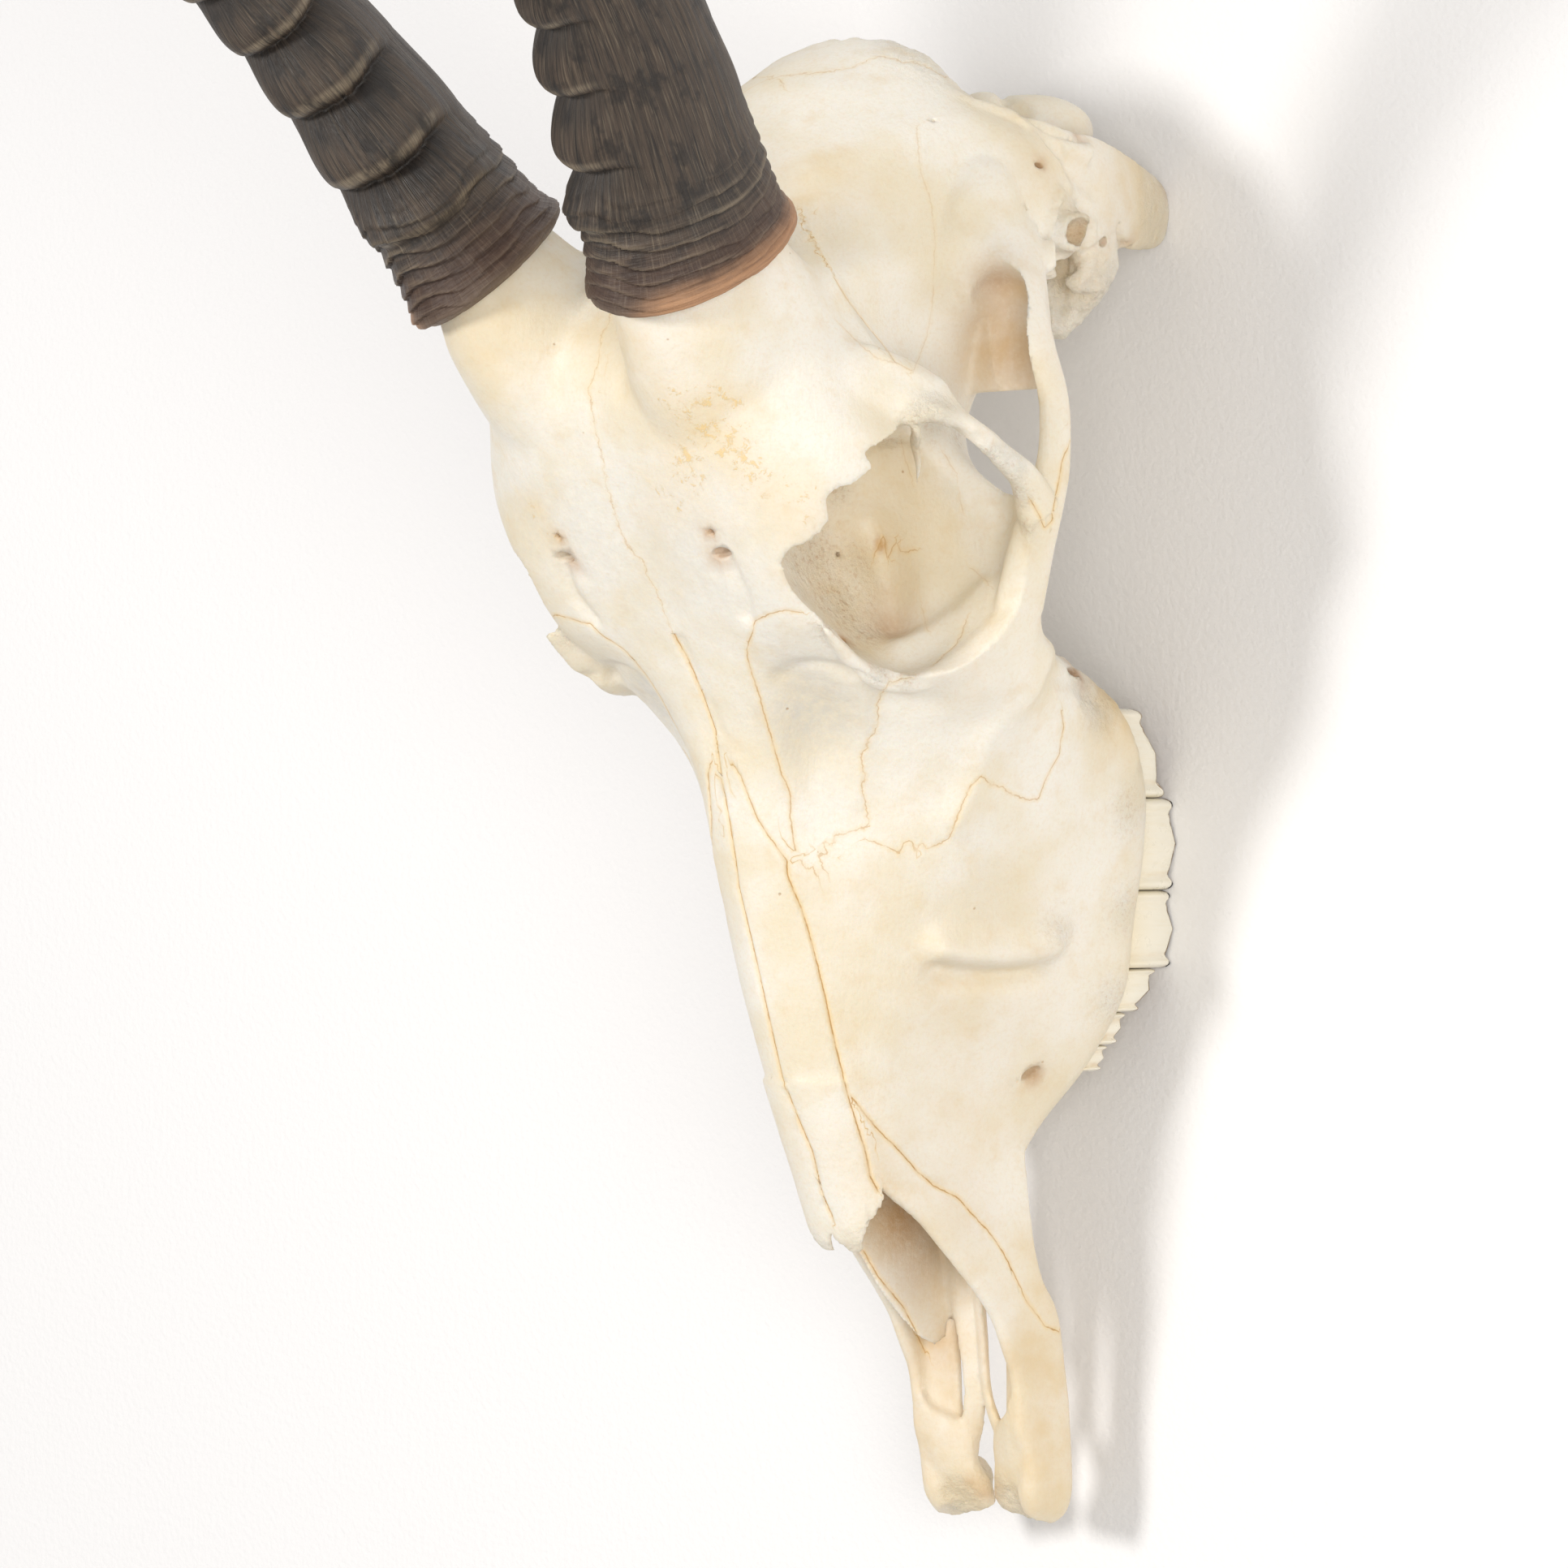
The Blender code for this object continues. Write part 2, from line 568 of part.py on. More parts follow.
def tooth(name, front, back, outer, inner, worn_front, worn_back):
    """A cheek tooth, from the top of its root down to its worn end."""
    plan = tooth_outline(front, back, outer, inner)
    worn = []
    for x, y in plan:
        share = min(max((y - front) / (back - front), 0.0), 1.0)
        worn.append(Vector((x - tooth_lean, y, worn_front + (worn_back - worn_front) * share)))
    neck = [Vector((x, y, max(tooth_neck, low.z + least_crown))) for (x, y), low in zip(plan, worn)]
    root = [Vector((x, y, root_top)) for x, y in plan]
    return mesh_object(name, [worn, neck, root])


def socket_trench():
    """The room for the row of teeth in the upper jaw."""
    outer_side = []
    inner_side = []
    for _, front, back, outer, inner, _, _ in teeth:
        outer_side += [[outer + gap, front + gap], [outer + gap, back - gap]]
        inner_side += [[inner - gap, front + gap], [inner - gap, back - gap]]
    for side in (outer_side, inner_side):
        side[0][1] = teeth[0][1] - trench_end
        side[-1][1] = teeth[-1][2] + trench_end
    plan = outer_side + list(reversed(inner_side))
    rings = [[Vector((x, y, z)) for x, y in plan] for z in (trench_bottom, root_top + gap)]
    return mesh_object("socket_trench", rings)


def build_cranium(look):
    body = joined("cranium_body", [skull_body()] + both_sides([horn_core()]))
    fused(body, skull_voxel, 6)
    for tool in both_sides(orbit_cutter()) + [nose_cutter(), throat_cutter(), brain_cutter()]:
        cut(body, tool)
    settle(body)
    pieces = premaxilla() + nasal_tip() + brow_and_cheek() + skull_base()
    cranium = joined("cranium", [body] + both_sides(pieces))
    fused(cranium, skull_voxel, 2)
    fewer = cranium.modifiers.new("fewer_faces", "DECIMATE")
    fewer.ratio = skull_triangles / (2.0 * len(cranium.data.polygons))
    settle(cranium)
    for tool in both_sides([sheath_room("sheath_room"), socket_trench()] + foramina_cutters()):
        cut(cranium, tool)
    cut(cranium, ground_cutter())
    cranium.data.materials.append(look)
    cranium.data.set_sharp_from_angle(angle=math.radians(50))
    return cranium


def build_horns(look):
    left = sheath("horn_sheath_left")
    right = mirrored(left, "horn_sheath_right")
    for horn in (left, right):
        horn.data.materials.append(look)
        horn.data.shade_smooth()
        horn.data.set_sharp_from_angle(angle=math.radians(60))


def build_teeth(look):
    for name, front, back, outer, inner, worn_front, worn_back in teeth:
        left = tooth(name + "_left", front, back, outer, inner, worn_front, worn_back)
        right = mirrored(left, name + "_right")
        for made in (left, right):
            made.data.materials.append(look)


def main():
    clear_scene()
    build_cranium(material("bone", bone_look))
    build_horns(material("horn", horn_look))
    build_teeth(material("enamel", enamel_look))


main()
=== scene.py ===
# Blesbok skull without its lower jaw: bone, horn sheaths and cheek teeth in full detail.
# Lengths are millimetres until a mesh is finished. X is the animal's left, Y runs from the
# muzzle to the back of the head, Z is up, and the skull rests on Z = 0.
import math
import time
import bpy
import numpy as np
from mathutils import Matrix, Vector
from mathutils.bvhtree import BVHTree


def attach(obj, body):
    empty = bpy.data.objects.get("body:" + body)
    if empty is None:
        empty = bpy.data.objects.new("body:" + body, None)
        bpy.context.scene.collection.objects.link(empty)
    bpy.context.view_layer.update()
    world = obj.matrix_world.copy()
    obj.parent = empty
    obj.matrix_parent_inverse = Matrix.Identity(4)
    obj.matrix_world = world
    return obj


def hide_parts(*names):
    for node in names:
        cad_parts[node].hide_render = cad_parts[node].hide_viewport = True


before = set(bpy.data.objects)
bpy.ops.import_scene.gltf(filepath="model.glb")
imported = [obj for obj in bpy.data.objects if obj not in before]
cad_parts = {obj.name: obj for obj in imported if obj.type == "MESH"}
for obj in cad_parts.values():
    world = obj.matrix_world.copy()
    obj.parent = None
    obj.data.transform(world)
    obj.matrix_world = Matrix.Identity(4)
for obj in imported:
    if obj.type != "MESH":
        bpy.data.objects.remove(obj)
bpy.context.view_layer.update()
started = time.time()

shared = {"mm": 0.001, "middleOfLength": 195.3, "seed": 7}

# The photograph's view: where the lens looks, from which side, and how wide it sees there
photoView = {"target": (20.0, 150.0, 106.3), "away": (0.70711, 0.0, 0.70711), "up": (0.0, 1.0, 0.0),
             "distance": 1800.0, "across": 322.0, "pixels": 1932, "sensor": 36.0}


def report(stage):
    print(f"{time.time() - started:6.1f} s  {stage}")


# Places, curves and noise

def photoRay(pixel):
    target = np.array(photoView["target"])
    away = np.array(photoView["away"])
    up = np.array(photoView["up"])
    right = np.cross(up, away)
    perPixel = photoView["across"] / photoView["pixels"]
    middle = photoView["pixels"] / 2
    aim = target + right * (pixel[0] - middle) * perPixel + up * (middle - pixel[1]) * perPixel
    origin = target + away * photoView["distance"]
    return origin, aim - origin


def onPlane(pixel, point, normal):
    # where the line of sight through a pixel meets a plane
    origin, direction = photoRay(pixel)
    reach = ((np.asarray(point) - origin) @ np.asarray(normal)) / (direction @ np.asarray(normal))
    return origin + direction * reach


def smoothCurve(points, shares, loop=False):
    # a curve through all the points, read at shares of 0 to 1
    points = np.asarray(points, float)
    shares = np.asarray(shares, float)
    if loop:
        count = len(points)
        place = (shares % 1.0) * count
        k = place.astype(int)

        def at(step):
            return points[(k + step) % count]
    else:
        last = len(points) - 1
        place = np.clip(shares, 0, 1) * last
        k = np.minimum(place.astype(int), last - 1)

        def at(step):
            return points[np.clip(k + step, 0, last)]
    t = (place - k)[:, None]
    before, a, b, after = at(-1), at(0), at(1), at(2)
    return 0.5 * (2 * a + (b - before) * t + (2 * before - 5 * a + 4 * b - after) * t ** 2
                  + (3 * a - before - 3 * b + after) * t ** 3)


def unit(vectors):
    vectors = np.asarray(vectors, float)
    return vectors / np.maximum(np.linalg.norm(vectors, axis=-1, keepdims=True), 1e-9)


scatter = {"axes": (73856093, 19349663, 83492791), "seed": 2654435, "last": 1274126177, "shift": 17.31}


def latticeNoise(points, size, seed=0):
    # smooth noise of -1 to 1 whose bumps are about "size" across
    spot = np.asarray(points, float) / size + seed * scatter["shift"]
    cell = np.floor(spot).astype(np.int64)
    part = spot - cell
    part = part * part * (3 - 2 * part)
    total = np.zeros(len(spot))
    for corner in np.ndindex(2, 2, 2):
        c = (cell + np.array(corner)) * scatter["axes"]
        h = c[:, 0] ^ c[:, 1] ^ c[:, 2] ^ (seed * scatter["seed"])
        h = (h ^ (h >> 13)) * scatter["last"]
        value = ((h ^ (h >> 16)) & 0xFFFF) / 32767.5 - 1.0
        weight = np.prod(np.where(np.array(corner) == 1, part, 1 - part), axis=1)
        total += weight * value
    return total


def layeredNoise(points, size, layers=3, seed=0):
    total = np.zeros(len(points))
    strength = 1.0
    for layer in range(layers):
        total += strength * latticeNoise(points, size / 2 ** layer, seed + layer)
        strength *= 0.5
    return total / 1.75


def smoothStep(low, high, values):
    t = np.clip((np.asarray(values, float) - low) / (high - low), 0, 1)
    return t * t * (3 - 2 * t)


# Meshes

def alone(thing):
    bpy.ops.object.select_all(action="DESELECT")
    thing.select_set(True)
    bpy.context.view_layer.objects.active = thing


def meshFrom(name, points, faces):
    mesh = bpy.data.meshes.new(name)
    mesh.from_pydata([tuple(p) for p in points], [], faces)
    mesh.update()
    made = bpy.data.objects.new(name, mesh)
    bpy.context.scene.collection.objects.link(made)
    return made


def gridMesh(name, grid):
    # a skin over rows of points, each row closed round, with both ends capped
    rows, cols = grid.shape[:2]
    index = np.arange(rows * cols).reshape(rows, cols)
    here, beyond = index[:-1], index[1:]
    quads = np.stack([here, np.roll(here, -1, axis=1), np.roll(beyond, -1, axis=1), beyond], -1)
    faces = quads.reshape(-1, 4).tolist()
    faces.append(index[0][::-1].tolist())
    faces.append(index[-1].tolist())
    made = meshFrom(name, grid.reshape(-1, 3), faces)
    alone(made)
    bpy.ops.object.mode_set(mode="EDIT")
    bpy.ops.mesh.select_all(action="SELECT")
    bpy.ops.mesh.normals_make_consistent(inside=False)
    bpy.ops.object.mode_set(mode="OBJECT")
    return made


def rod(name, path, sides=16, steps=40, flat=None, glance=0.004):
    # a rod along a smooth path of (X, Y, Z, radius), thinner along flat[0] by the share flat[1]
    shares = np.linspace(0, 1, steps)
    stops = smoothCurve(path, shares)
    centre, radius = stops[:, :3], stops[:, 3]
    ahead = smoothCurve(path, shares + glance) - smoothCurve(path, shares - glance)
    along = unit(ahead[:, :3])
    guide = np.array(flat[0] if flat else (0.31, 0.17, 0.93), float)
    thin = unit(guide - along * (along @ guide)[:, None])
    wide = np.cross(along, thin)
    turn = np.linspace(0, 2 * math.pi, sides, endpoint=False)
    share = flat[1] if flat else 1.0
    grid = (centre[:, None] + wide[:, None] * (radius[:, None] * np.cos(turn))[..., None]
            + thin[:, None] * (radius[:, None] * share * np.sin(turn))[..., None])
    return gridMesh(name, grid)


def lump(name, centre, radii, turn=(0, 0, 0)):
    bpy.ops.object.select_all(action="DESELECT")
    bpy.ops.mesh.primitive_ico_sphere_add(subdivisions=4, radius=1.0, location=centre, rotation=turn,
                                          scale=radii)
    made = bpy.context.active_object
    made.name = name
    bpy.ops.object.transform_apply(location=True, rotation=True, scale=True)
    return made


def edgePlate(name, upper, lower, half, rows=90, sides=40, blunt=0.8):
    # a plate with rounded edges between two edge lines
    shares = np.linspace(0, 1, rows)
    top, bottom = smoothCurve(upper, shares), smoothCurve(lower, shares)
    along = unit(np.gradient((top + bottom) / 2, axis=0))
    reach = (top - bottom) / 2
    thin = unit(np.cross(reach, along)) * np.interp(shares, np.linspace(0, 1, len(half)), half)[:, None]
    turn = np.linspace(0, 2 * math.pi, sides, endpoint=False)
    long = np.sign(np.cos(turn)) * np.abs(np.cos(turn)) ** blunt
    wide = np.sign(np.sin(turn)) * np.abs(np.sin(turn)) ** blunt
    grid = ((top + bottom)[:, None] / 2 + reach[:, None] * long[:, None] + thin[:, None] * wide[:, None])
    return gridMesh(name, grid)


def modelled(parts):
    # each row: how it is made, its name, its values
    return [maker(name, **values) for maker, name, values in parts]


def otherSide(thing):
    # the same body on the animal's right
    made = thing.copy()
    made.data = thing.data.copy()
    made.name = thing.name + "Right"
    bpy.context.scene.collection.objects.link(made)
    made.data.transform(Matrix.Scale(-1, 4, (1, 0, 0)))
    made.data.flip_normals()
    return made


def bothSides(things):
    return things + [otherSide(thing) for thing in things]


def joined(name, things):
    bpy.ops.object.select_all(action="DESELECT")
    for thing in things:
        thing.select_set(True)
    bpy.context.view_layer.objects.active = things[0]
    bpy.ops.object.join()
    things[0].name = name
    return things[0]


def applied(thing, kind, **settings):
    alone(thing)
    modifier = thing.modifiers.new(kind.lower(), kind)
    for key, value in settings.items():
        setattr(modifier, key, value)
    bpy.ops.object.modifier_apply(modifier=modifier.name)


def grownTogether(thing, voxel, smoothing):
    applied(thing, "REMESH", mode="VOXEL", voxel_size=voxel)
    if smoothing:
        applied(thing, "SMOOTH", factor=0.5, iterations=smoothing)


def cutAway(thing, tool):
    applied(thing, "BOOLEAN", operation="DIFFERENCE", solver="MANIFOLD", object=tool)
    bpy.data.objects.remove(tool, do_unlink=True)


def pointsOf(thing):
    co = np.empty(len(thing.data.vertices) * 3)
    thing.data.vertices.foreach_get("co", co)
    return co.reshape(-1, 3)


def normalsOf(thing):
    normals = np.empty(len(thing.data.vertices) * 3)
    thing.data.vertex_normals.foreach_get("vector", normals)
    return normals.reshape(-1, 3)


def setPoints(thing, co):
    thing.data.vertices.foreach_set("co", np.asarray(co, np.float32).ravel())
    thing.data.update()


def setAttribute(thing, name, values):
    attribute = thing.data.attributes.get(name) or thing.data.attributes.new(name, "FLOAT", "POINT")
    attribute.data.foreach_set("value", np.asarray(values, np.float32))


def inPlace(thing):
    # millimetres along the skull to metres in the frame
    middled = Matrix.Translation((0, -shared["middleOfLength"], 0))
    thing.data.transform(Matrix.Scale(shared["mm"], 4) @ middled)
    thing.data.update()


def smoothShaded(thing):
    thing.data.polygons.foreach_set("use_smooth", np.ones(len(thing.data.polygons), bool))


def evened(thing, co, weight, rounds):
    # smooths a mesh by hand where the weight says so
    edges = np.empty(len(thing.data.edges) * 2, np.int32)
    thing.data.edges.foreach_get("vertices", edges)
    edges = edges.reshape(-1, 2)
    edges = edges[(weight[edges] > 0).any(axis=1)]
    used, edges = np.unique(edges, return_inverse=True)
    a, b = edges.reshape(-1, 2).T
    part, share = co[used], (0.5 * weight[used])[:, None]
    points = len(used)
    count = (np.bincount(a, minlength=points) + np.bincount(b, minlength=points))[:, None]
    for _ in range(rounds):
        total = np.column_stack([np.bincount(a, part[b, axis], points) + np.bincount(b, part[a, axis], points)
                                 for axis in range(3)])
        part = part + (total / count - part) * share
    co = co.copy()
    co[used] = part
    return co


# Skull body. Half outlines across its length from the top of the midline down the left side
# to the bottom of the midline, each (Y, [(X, Z), ...])
skullSections = [
    (66, [(0, 77.2), (6, 75), (9.8, 70.8), (12.4, 65), (14.2, 59.5), (15.3, 53), (16.2, 46), (16.6, 40),
     (16.2, 32.5), (11, 29), (6, 30), (0, 31)]),
    (75, [(0, 81.3), (6, 79.6), (10.5, 75.0), (14, 69), (16, 62), (17.5, 54), (18.5, 46), (18.6, 38),
     (17.4, 29), (12, 25.5), (7, 28), (0, 30)]),
    (90, [(0, 87.5), (6, 86), (11, 81), (15.5, 74), (19, 65), (22, 55), (24.5, 44), (25.5, 34), (24.6, 20.5),
     (16, 16), (10, 22), (0, 25)]),
    (105, [(0, 92.5), (7, 90.5), (12.5, 85), (18, 77), (23, 68), (27.5, 57), (30.5, 45), (31.5, 33),
     (31.5, 16), (19, 13), (12, 21), (0, 24)]),
    (120, [(0, 96.5), (8, 94), (14, 88), (20.5, 80), (26.5, 71), (31.5, 60), (34, 47), (34.5, 34),
     (33.5, 15), (20, 12), (13, 21), (0, 24)]),
    (135, [(0, 100.5), (8.5, 98), (15, 91.5), (23, 83), (31, 73), (36, 62), (37.5, 48), (37, 33), (34.5, 13),
     (20, 11), (13, 21), (0, 25)]),
    (150, [(0, 103.7), (9, 102), (17, 95), (25.5, 86), (34, 77), (39.5, 66), (41, 52), (39, 35), (35, 13),
     (21, 11), (13, 22), (0, 26)]),
    (162, [(0, 107), (10, 106.5), (20, 100), (29, 92), (38, 83), (45, 73), (47, 60), (43, 42), (36, 20),
     (22, 14), (13, 24), (0, 28)]),
    (172, [(0, 112.3), (12, 112), (24, 108), (35, 101), (44, 94), (51, 84), (53, 70), (48, 55), (35, 30),
     (21, 20), (13, 28), (0, 33)]),
    (182, [(0, 118), (14, 118.5), (27, 118.5), (36, 116), (44, 105), (53, 89), (56.5, 74), (53, 64),
     (38, 54), (24, 42), (14, 40), (0, 44)]),
    (195, [(0, 125.5), (15, 126.5), (28, 127), (39.5, 124), (49, 112), (56, 95), (59, 78), (56, 68),
     (43, 60), (28, 52), (15, 46), (0, 48)]),
    (208, [(0, 133), (16, 134), (31, 132), (45, 126), (53, 114), (59, 99), (61.5, 82), (58, 71), (47, 66),
     (32, 60), (16, 54), (0, 53)]),
    (219, [(0, 138.5), (17, 139), (32, 136.5), (45, 128), (54, 116), (55, 104), (48, 95), (42, 87), (39, 79),
     (34, 67), (18, 56), (0, 52)]),
    (228, [(0, 141.5), (17, 142), (31, 140), (41, 132), (49, 120), (52, 107), (47, 98), (41, 89), (38, 79),
     (34, 66), (18, 52), (0, 48)]),
    (238, [(0, 140.5), (16, 142), (30, 142), (40, 135), (46, 122), (47, 108), (42, 98), (38, 86), (38, 72),
     (33, 58), (18, 45), (0, 41)]),
    (248, [(0, 135), (14, 136), (28, 138), (38, 132), (42, 120), (41, 108), (39, 96), (39, 84), (42, 70),
     (36, 52), (20, 38), (0, 32)]),
    (262, [(0, 124), (13, 122.5), (25, 117), (33, 107), (37, 97), (40, 86), (43, 74), (45.5, 62), (43, 48),
     (31, 36), (16, 28), (0, 26)]),
    (275, [(0, 113), (13, 111), (24, 105), (32, 96), (37, 87), (41, 77), (45, 66), (47, 56), (43, 44),
     (29, 34), (15, 27), (0, 25)]),
    (286, [(0, 102), (12, 99), (22, 92), (30, 84), (36, 76), (40, 68), (41.5, 62), (41, 56), (37.5, 48.5),
     (26, 40), (13, 35), (0, 33)]),
    (295, [(0, 93), (11, 89.5), (19, 83), (25, 75.5), (28.5, 69), (28.5, 64), (26, 60), (22, 56), (17, 52),
     (12, 48), (7, 45), (0, 44)]),
    (302, [(0, 81), (7, 79.5), (13, 76.5), (18, 72), (20.5, 68), (21, 65.5), (19.5, 63), (16.5, 60.5),
     (13, 58), (9, 56), (5, 54.5), (0, 54)]),
    (307, [(0, 71), (3, 70.5), (5.5, 69.5), (7.5, 68), (8.5, 66.5), (8.5, 65), (7.5, 63.5), (6, 62),
     (4.5, 61), (3, 60.5), (1.5, 60), (0, 60)]),
]

skull = {"ringDetail": 6, "stationStep": 1.6, "firstVoxel": 1.1, "firstSmoothing": 12,
         "lastVoxel": 0.8, "lastSmoothing": 3, "faces": 150000, "hiddenShare": 0.12,
         "grain": 0.08, "grainSize": 5.0, "seamWidth": 0.45, "seamReach": 1.6, "seamFade": (2.4, 1.5),
         "seamClip": 3, "roughShare": 1.4}


def skullBody():
    stops = np.array([y for y, half in skullSections], float)
    halves = np.array([half for y, half in skullSections], float)
    stations = np.arange(stops[0], stops[-1] + 0.01, skull["stationStep"])
    shares = np.interp(stations, stops, np.linspace(0, 1, len(stops)))
    corners = halves.shape[1]
    around = np.linspace(0, 1, (corners - 1) * skull["ringDetail"] + 1)
    lines = [smoothCurve(halves[:, k], shares) for k in range(corners)]
    rows = []
    for k, y in enumerate(stations):
        half = smoothCurve([line[k] for line in lines], around)
        left = np.column_stack([half[:, 0], np.full(len(half), y), half[:, 1]])
        right = left[-2:0:-1] * (-1, 1, 1)
        rows.append(np.vstack([left, right]))
    return gridMesh("skullBody", np.array(rows))


# Horns: centre line of the left one, and (share of the length, front radius, side radius).
# "notches" are the low lines between the rings, in mm from the rim, with even ones after them.
# Noise rows are (height in mm, size in mm, seed).
horn = {
    "line": [(29.6, 256, 142), (46.5, 307, 182), (61, 345, 230), (71, 372, 288), (74, 386, 352),
             (68, 388, 410), (58, 382, 455)],
    "front": (-0.40, -0.60, 0.70),
    "thickness": [(0.0, 22.2, 16.8), (0.07, 20.0, 14.2), (0.18, 16.2, 11.0), (0.35, 14.2, 10.4),
                  (0.55, 11.6, 9.2), (0.75, 8.4, 7.2), (0.90, 5.2, 4.7), (0.985, 1.6, 1.5)],
    "pedicle": [(22, 212, 100, 22), (24, 228, 114, 25), (26.4, 240, 127, 23.5), (28.5, 250, 137.5, 20)],
    "pedicleWidth": 0.78, "coreDepth": 0.40, "coreInset": 3.9, "coreTaper": 3.0,
    "coreSides": 48, "coreRows": 24, "pedicleRows": 10,
    "around": 168, "nearStep": 0.42, "nearLength": 135.0, "farStep": 1.1, "endShare": 0.985, "roundSize": 16,
    "wall": 2.6, "liningDepth": 0.10, "liningRows": 12,
    "notches": [20.0, 32.5, 47.0, 62.5, 78.0], "laterStep": 15.2, "laterNotches": 10, "wobble": (1.6, 11, 3),
    "ringHeight": 5.4, "fading": 0.45, "backShare": 0.04, "frontTurn": 0.35, "swellPowers": (0.58, 0.75),
    "crestAt": 0.14, "crestWidth": 0.085,
    "layerStep": 3.4, "layerHeight": 0.7, "layersEnd": (33, 20), "overlap": 0.12,
    "sway": (2.4, 12, 5), "fineSway": (1.1, 5, 6), "uneven": (0.6, 6, 8),
    "lip": (1.1, 3.6, 3.4), "rimRounding": (1.5, 1.8), "fibres": (0.12, 1.1, 9), "lumps": (0.55, 9, 12),
}


def hornFrames(shares, glance=0.01):
    # the line's places and the directions to the horn's front and side there
    shares = np.asarray(shares, float)
    here = smoothCurve(horn["line"], shares)
    along = unit(smoothCurve(horn["line"], shares + glance) - smoothCurve(horn["line"], shares - glance))
    front = np.array(horn["front"])
    front = unit(front - along * (along @ front)[:, None])
    return here, front, np.cross(front, along) * -1.0


def hornRadii(shares):
    stops = np.array(horn["thickness"])
    return np.interp(shares, stops[:, 0], stops[:, 1]), np.interp(shares, stops[:, 0], stops[:, 2])


def hornRings(here, front, side, longRadius, shortRadius, turn):
    # ovals round the horn's line; the radii are one for each row or one for each point
    return (here[:, None] + front[:, None] * (longRadius * np.cos(turn))[..., None]
            + side[:, None] * (shortRadius * np.sin(turn))[..., None])


def hornCore():
    # the bony core inside the sheath and the pedicle that it grows from
    turn = np.linspace(0, 2 * math.pi, horn["coreSides"], endpoint=False)
    shares = np.linspace(0, 1, horn["coreRows"])
    here, front, side = hornFrames(shares * horn["coreDepth"])
    longRadius, shortRadius = hornRadii(shares * horn["coreDepth"])
    inset = horn["coreInset"] + horn["coreTaper"] * shares
    core = hornRings(here, front, side, (longRadius - inset)[:, None], (shortRadius - inset)[:, None], turn)
    stem = smoothCurve(horn["pedicle"], np.linspace(0, 1, horn["pedicleRows"]))
    stemRows = np.ones((len(stem), 1))
    foot = hornRings(stem[:, :3], front[0] * stemRows, side[0] * stemRows, stem[:, 3:],
                     stem[:, 3:] * horn["pedicleWidth"], turn)
    return gridMesh("hornCore", np.vstack([foot, core]))


# Orbit: its edge as seen in the photograph, clockwise from the bottom, on the plane of the eye
orbit = {
    "edge": [(1129, 834), (1165, 820), (1192, 802), (1218, 778), (1244, 747), (1260, 710), (1266, 663),
         (1264, 626), (1246, 590), (1210, 553), (1171, 532), (1147, 527), (1123, 536), (1104, 541),
         (1087, 547), (1068, 558), (1076, 575), (1062, 588), (1048, 598), (1027, 606), (1022, 621),
         (1024, 640), (1018, 657), (1000, 676), (986, 691), (984, 707), (990, 724), (1001, 744), (1021, 765),
         (1045, 786), (1066, 811), (1084, 823), (1108, 830)],
    "planeAt": (51.3, 197.0, 101.0),
    "planeNormal": (0.916, -0.319, 0.245),
    "outward": (0.9, -0.33, 0.28),
    # the socket's depth and its share of the edge's width
    "hollow": [(12, 1.04), (3, 1.0), (0, 0.995), (-2.5, 1.0), (-6, 1.03), (-12, 1.01), (-18, 0.93),
         (-24, 0.8), (-29, 0.62), (-33, 0.4), (-35.5, 0.18), (-36.2, 0.04)],
    "middle": (51.2, 197.5, 98.7),
    # the thick pale rim and the bar behind the eye: pixel, half width, half depth
    "band": [((1022, 775), 0.5, 1.5), ((1044, 797), 1.3, 2.6), ((1072, 822), 2.0, 3.2), ((1108, 838), 2.4,
         3.6), ((1152, 833), 2.7, 4.0), ((1194, 812), 3.0, 4.8), ((1234, 770), 3.2, 5.8), ((1262, 716), 3.1,
         6.4), ((1274, 664), 2.6, 6.2), ((1270, 620), 1.9, 5.0), ((1250, 580), 1.6, 3.6), ((1214, 544), 1.6,
         3.0), ((1178, 525), 1.6, 3.0), ((1150, 520), 1.2, 3.0), ((1126, 524), 0.5, 3.0)],
    # the splinter on the upper edge: pixel, depth behind the plane, radius
    "spine": [((1129, 522), 3, 2.2), ((1128, 545), 5, 1.7), ((1131, 570), 7, 1.2), ((1130, 599), 9, 0.4)],
    "bandSteps": 120,
    "bandSides": 24,
    "bandOut": 0.75,
    "bandIn": 0.88,
    "corners": 176,
    "levels": 60,
    "raggedDepth": 3.0,
    "everyCorner": 8,
}


def eyePlace(pixel, depth=0.0):
    # the place seen at a pixel, so deep behind the plane of the eye opening
    outward = unit(orbit["outward"])
    return onPlane(pixel, np.array(orbit["planeAt"]) - outward * depth, orbit["planeNormal"])


def orbitBand():
    # the raised lower rim, carried on as the thin bar behind the eye
    stops = np.array([[*eyePlace(pixel), wide, deep] for pixel, wide, deep in orbit["band"]])
    path = smoothCurve(stops, np.linspace(0, 1, orbit["bandSteps"]))
    outward = unit(orbit["outward"])
    turn = np.linspace(0, 2 * math.pi, orbit["bandSides"], endpoint=False)
    away = unit(path[:, :3] - np.array(orbit["middle"]))
    away = unit(away - outward * (away @ outward)[:, None])
    wide, deep = path[:, 3:4], path[:, 4:5]
    centre = path[:, :3] + away * wide * orbit["bandOut"] - outward * (deep * orbit["bandIn"])
    grid = (centre[:, None] + away[:, None] * (wide * np.cos(turn))[..., None]
            + outward * (deep * np.sin(turn))[..., None])
    return gridMesh("orbitBand", grid)


def orbitSpine():
    # the splinter hanging from the upper edge
    path = [(*eyePlace(pixel, depth), radius) for pixel, depth, radius in orbit["spine"]]
    return rod("orbitSpine", path, flat=((0.6, 0.75, 0.2), 0.55))


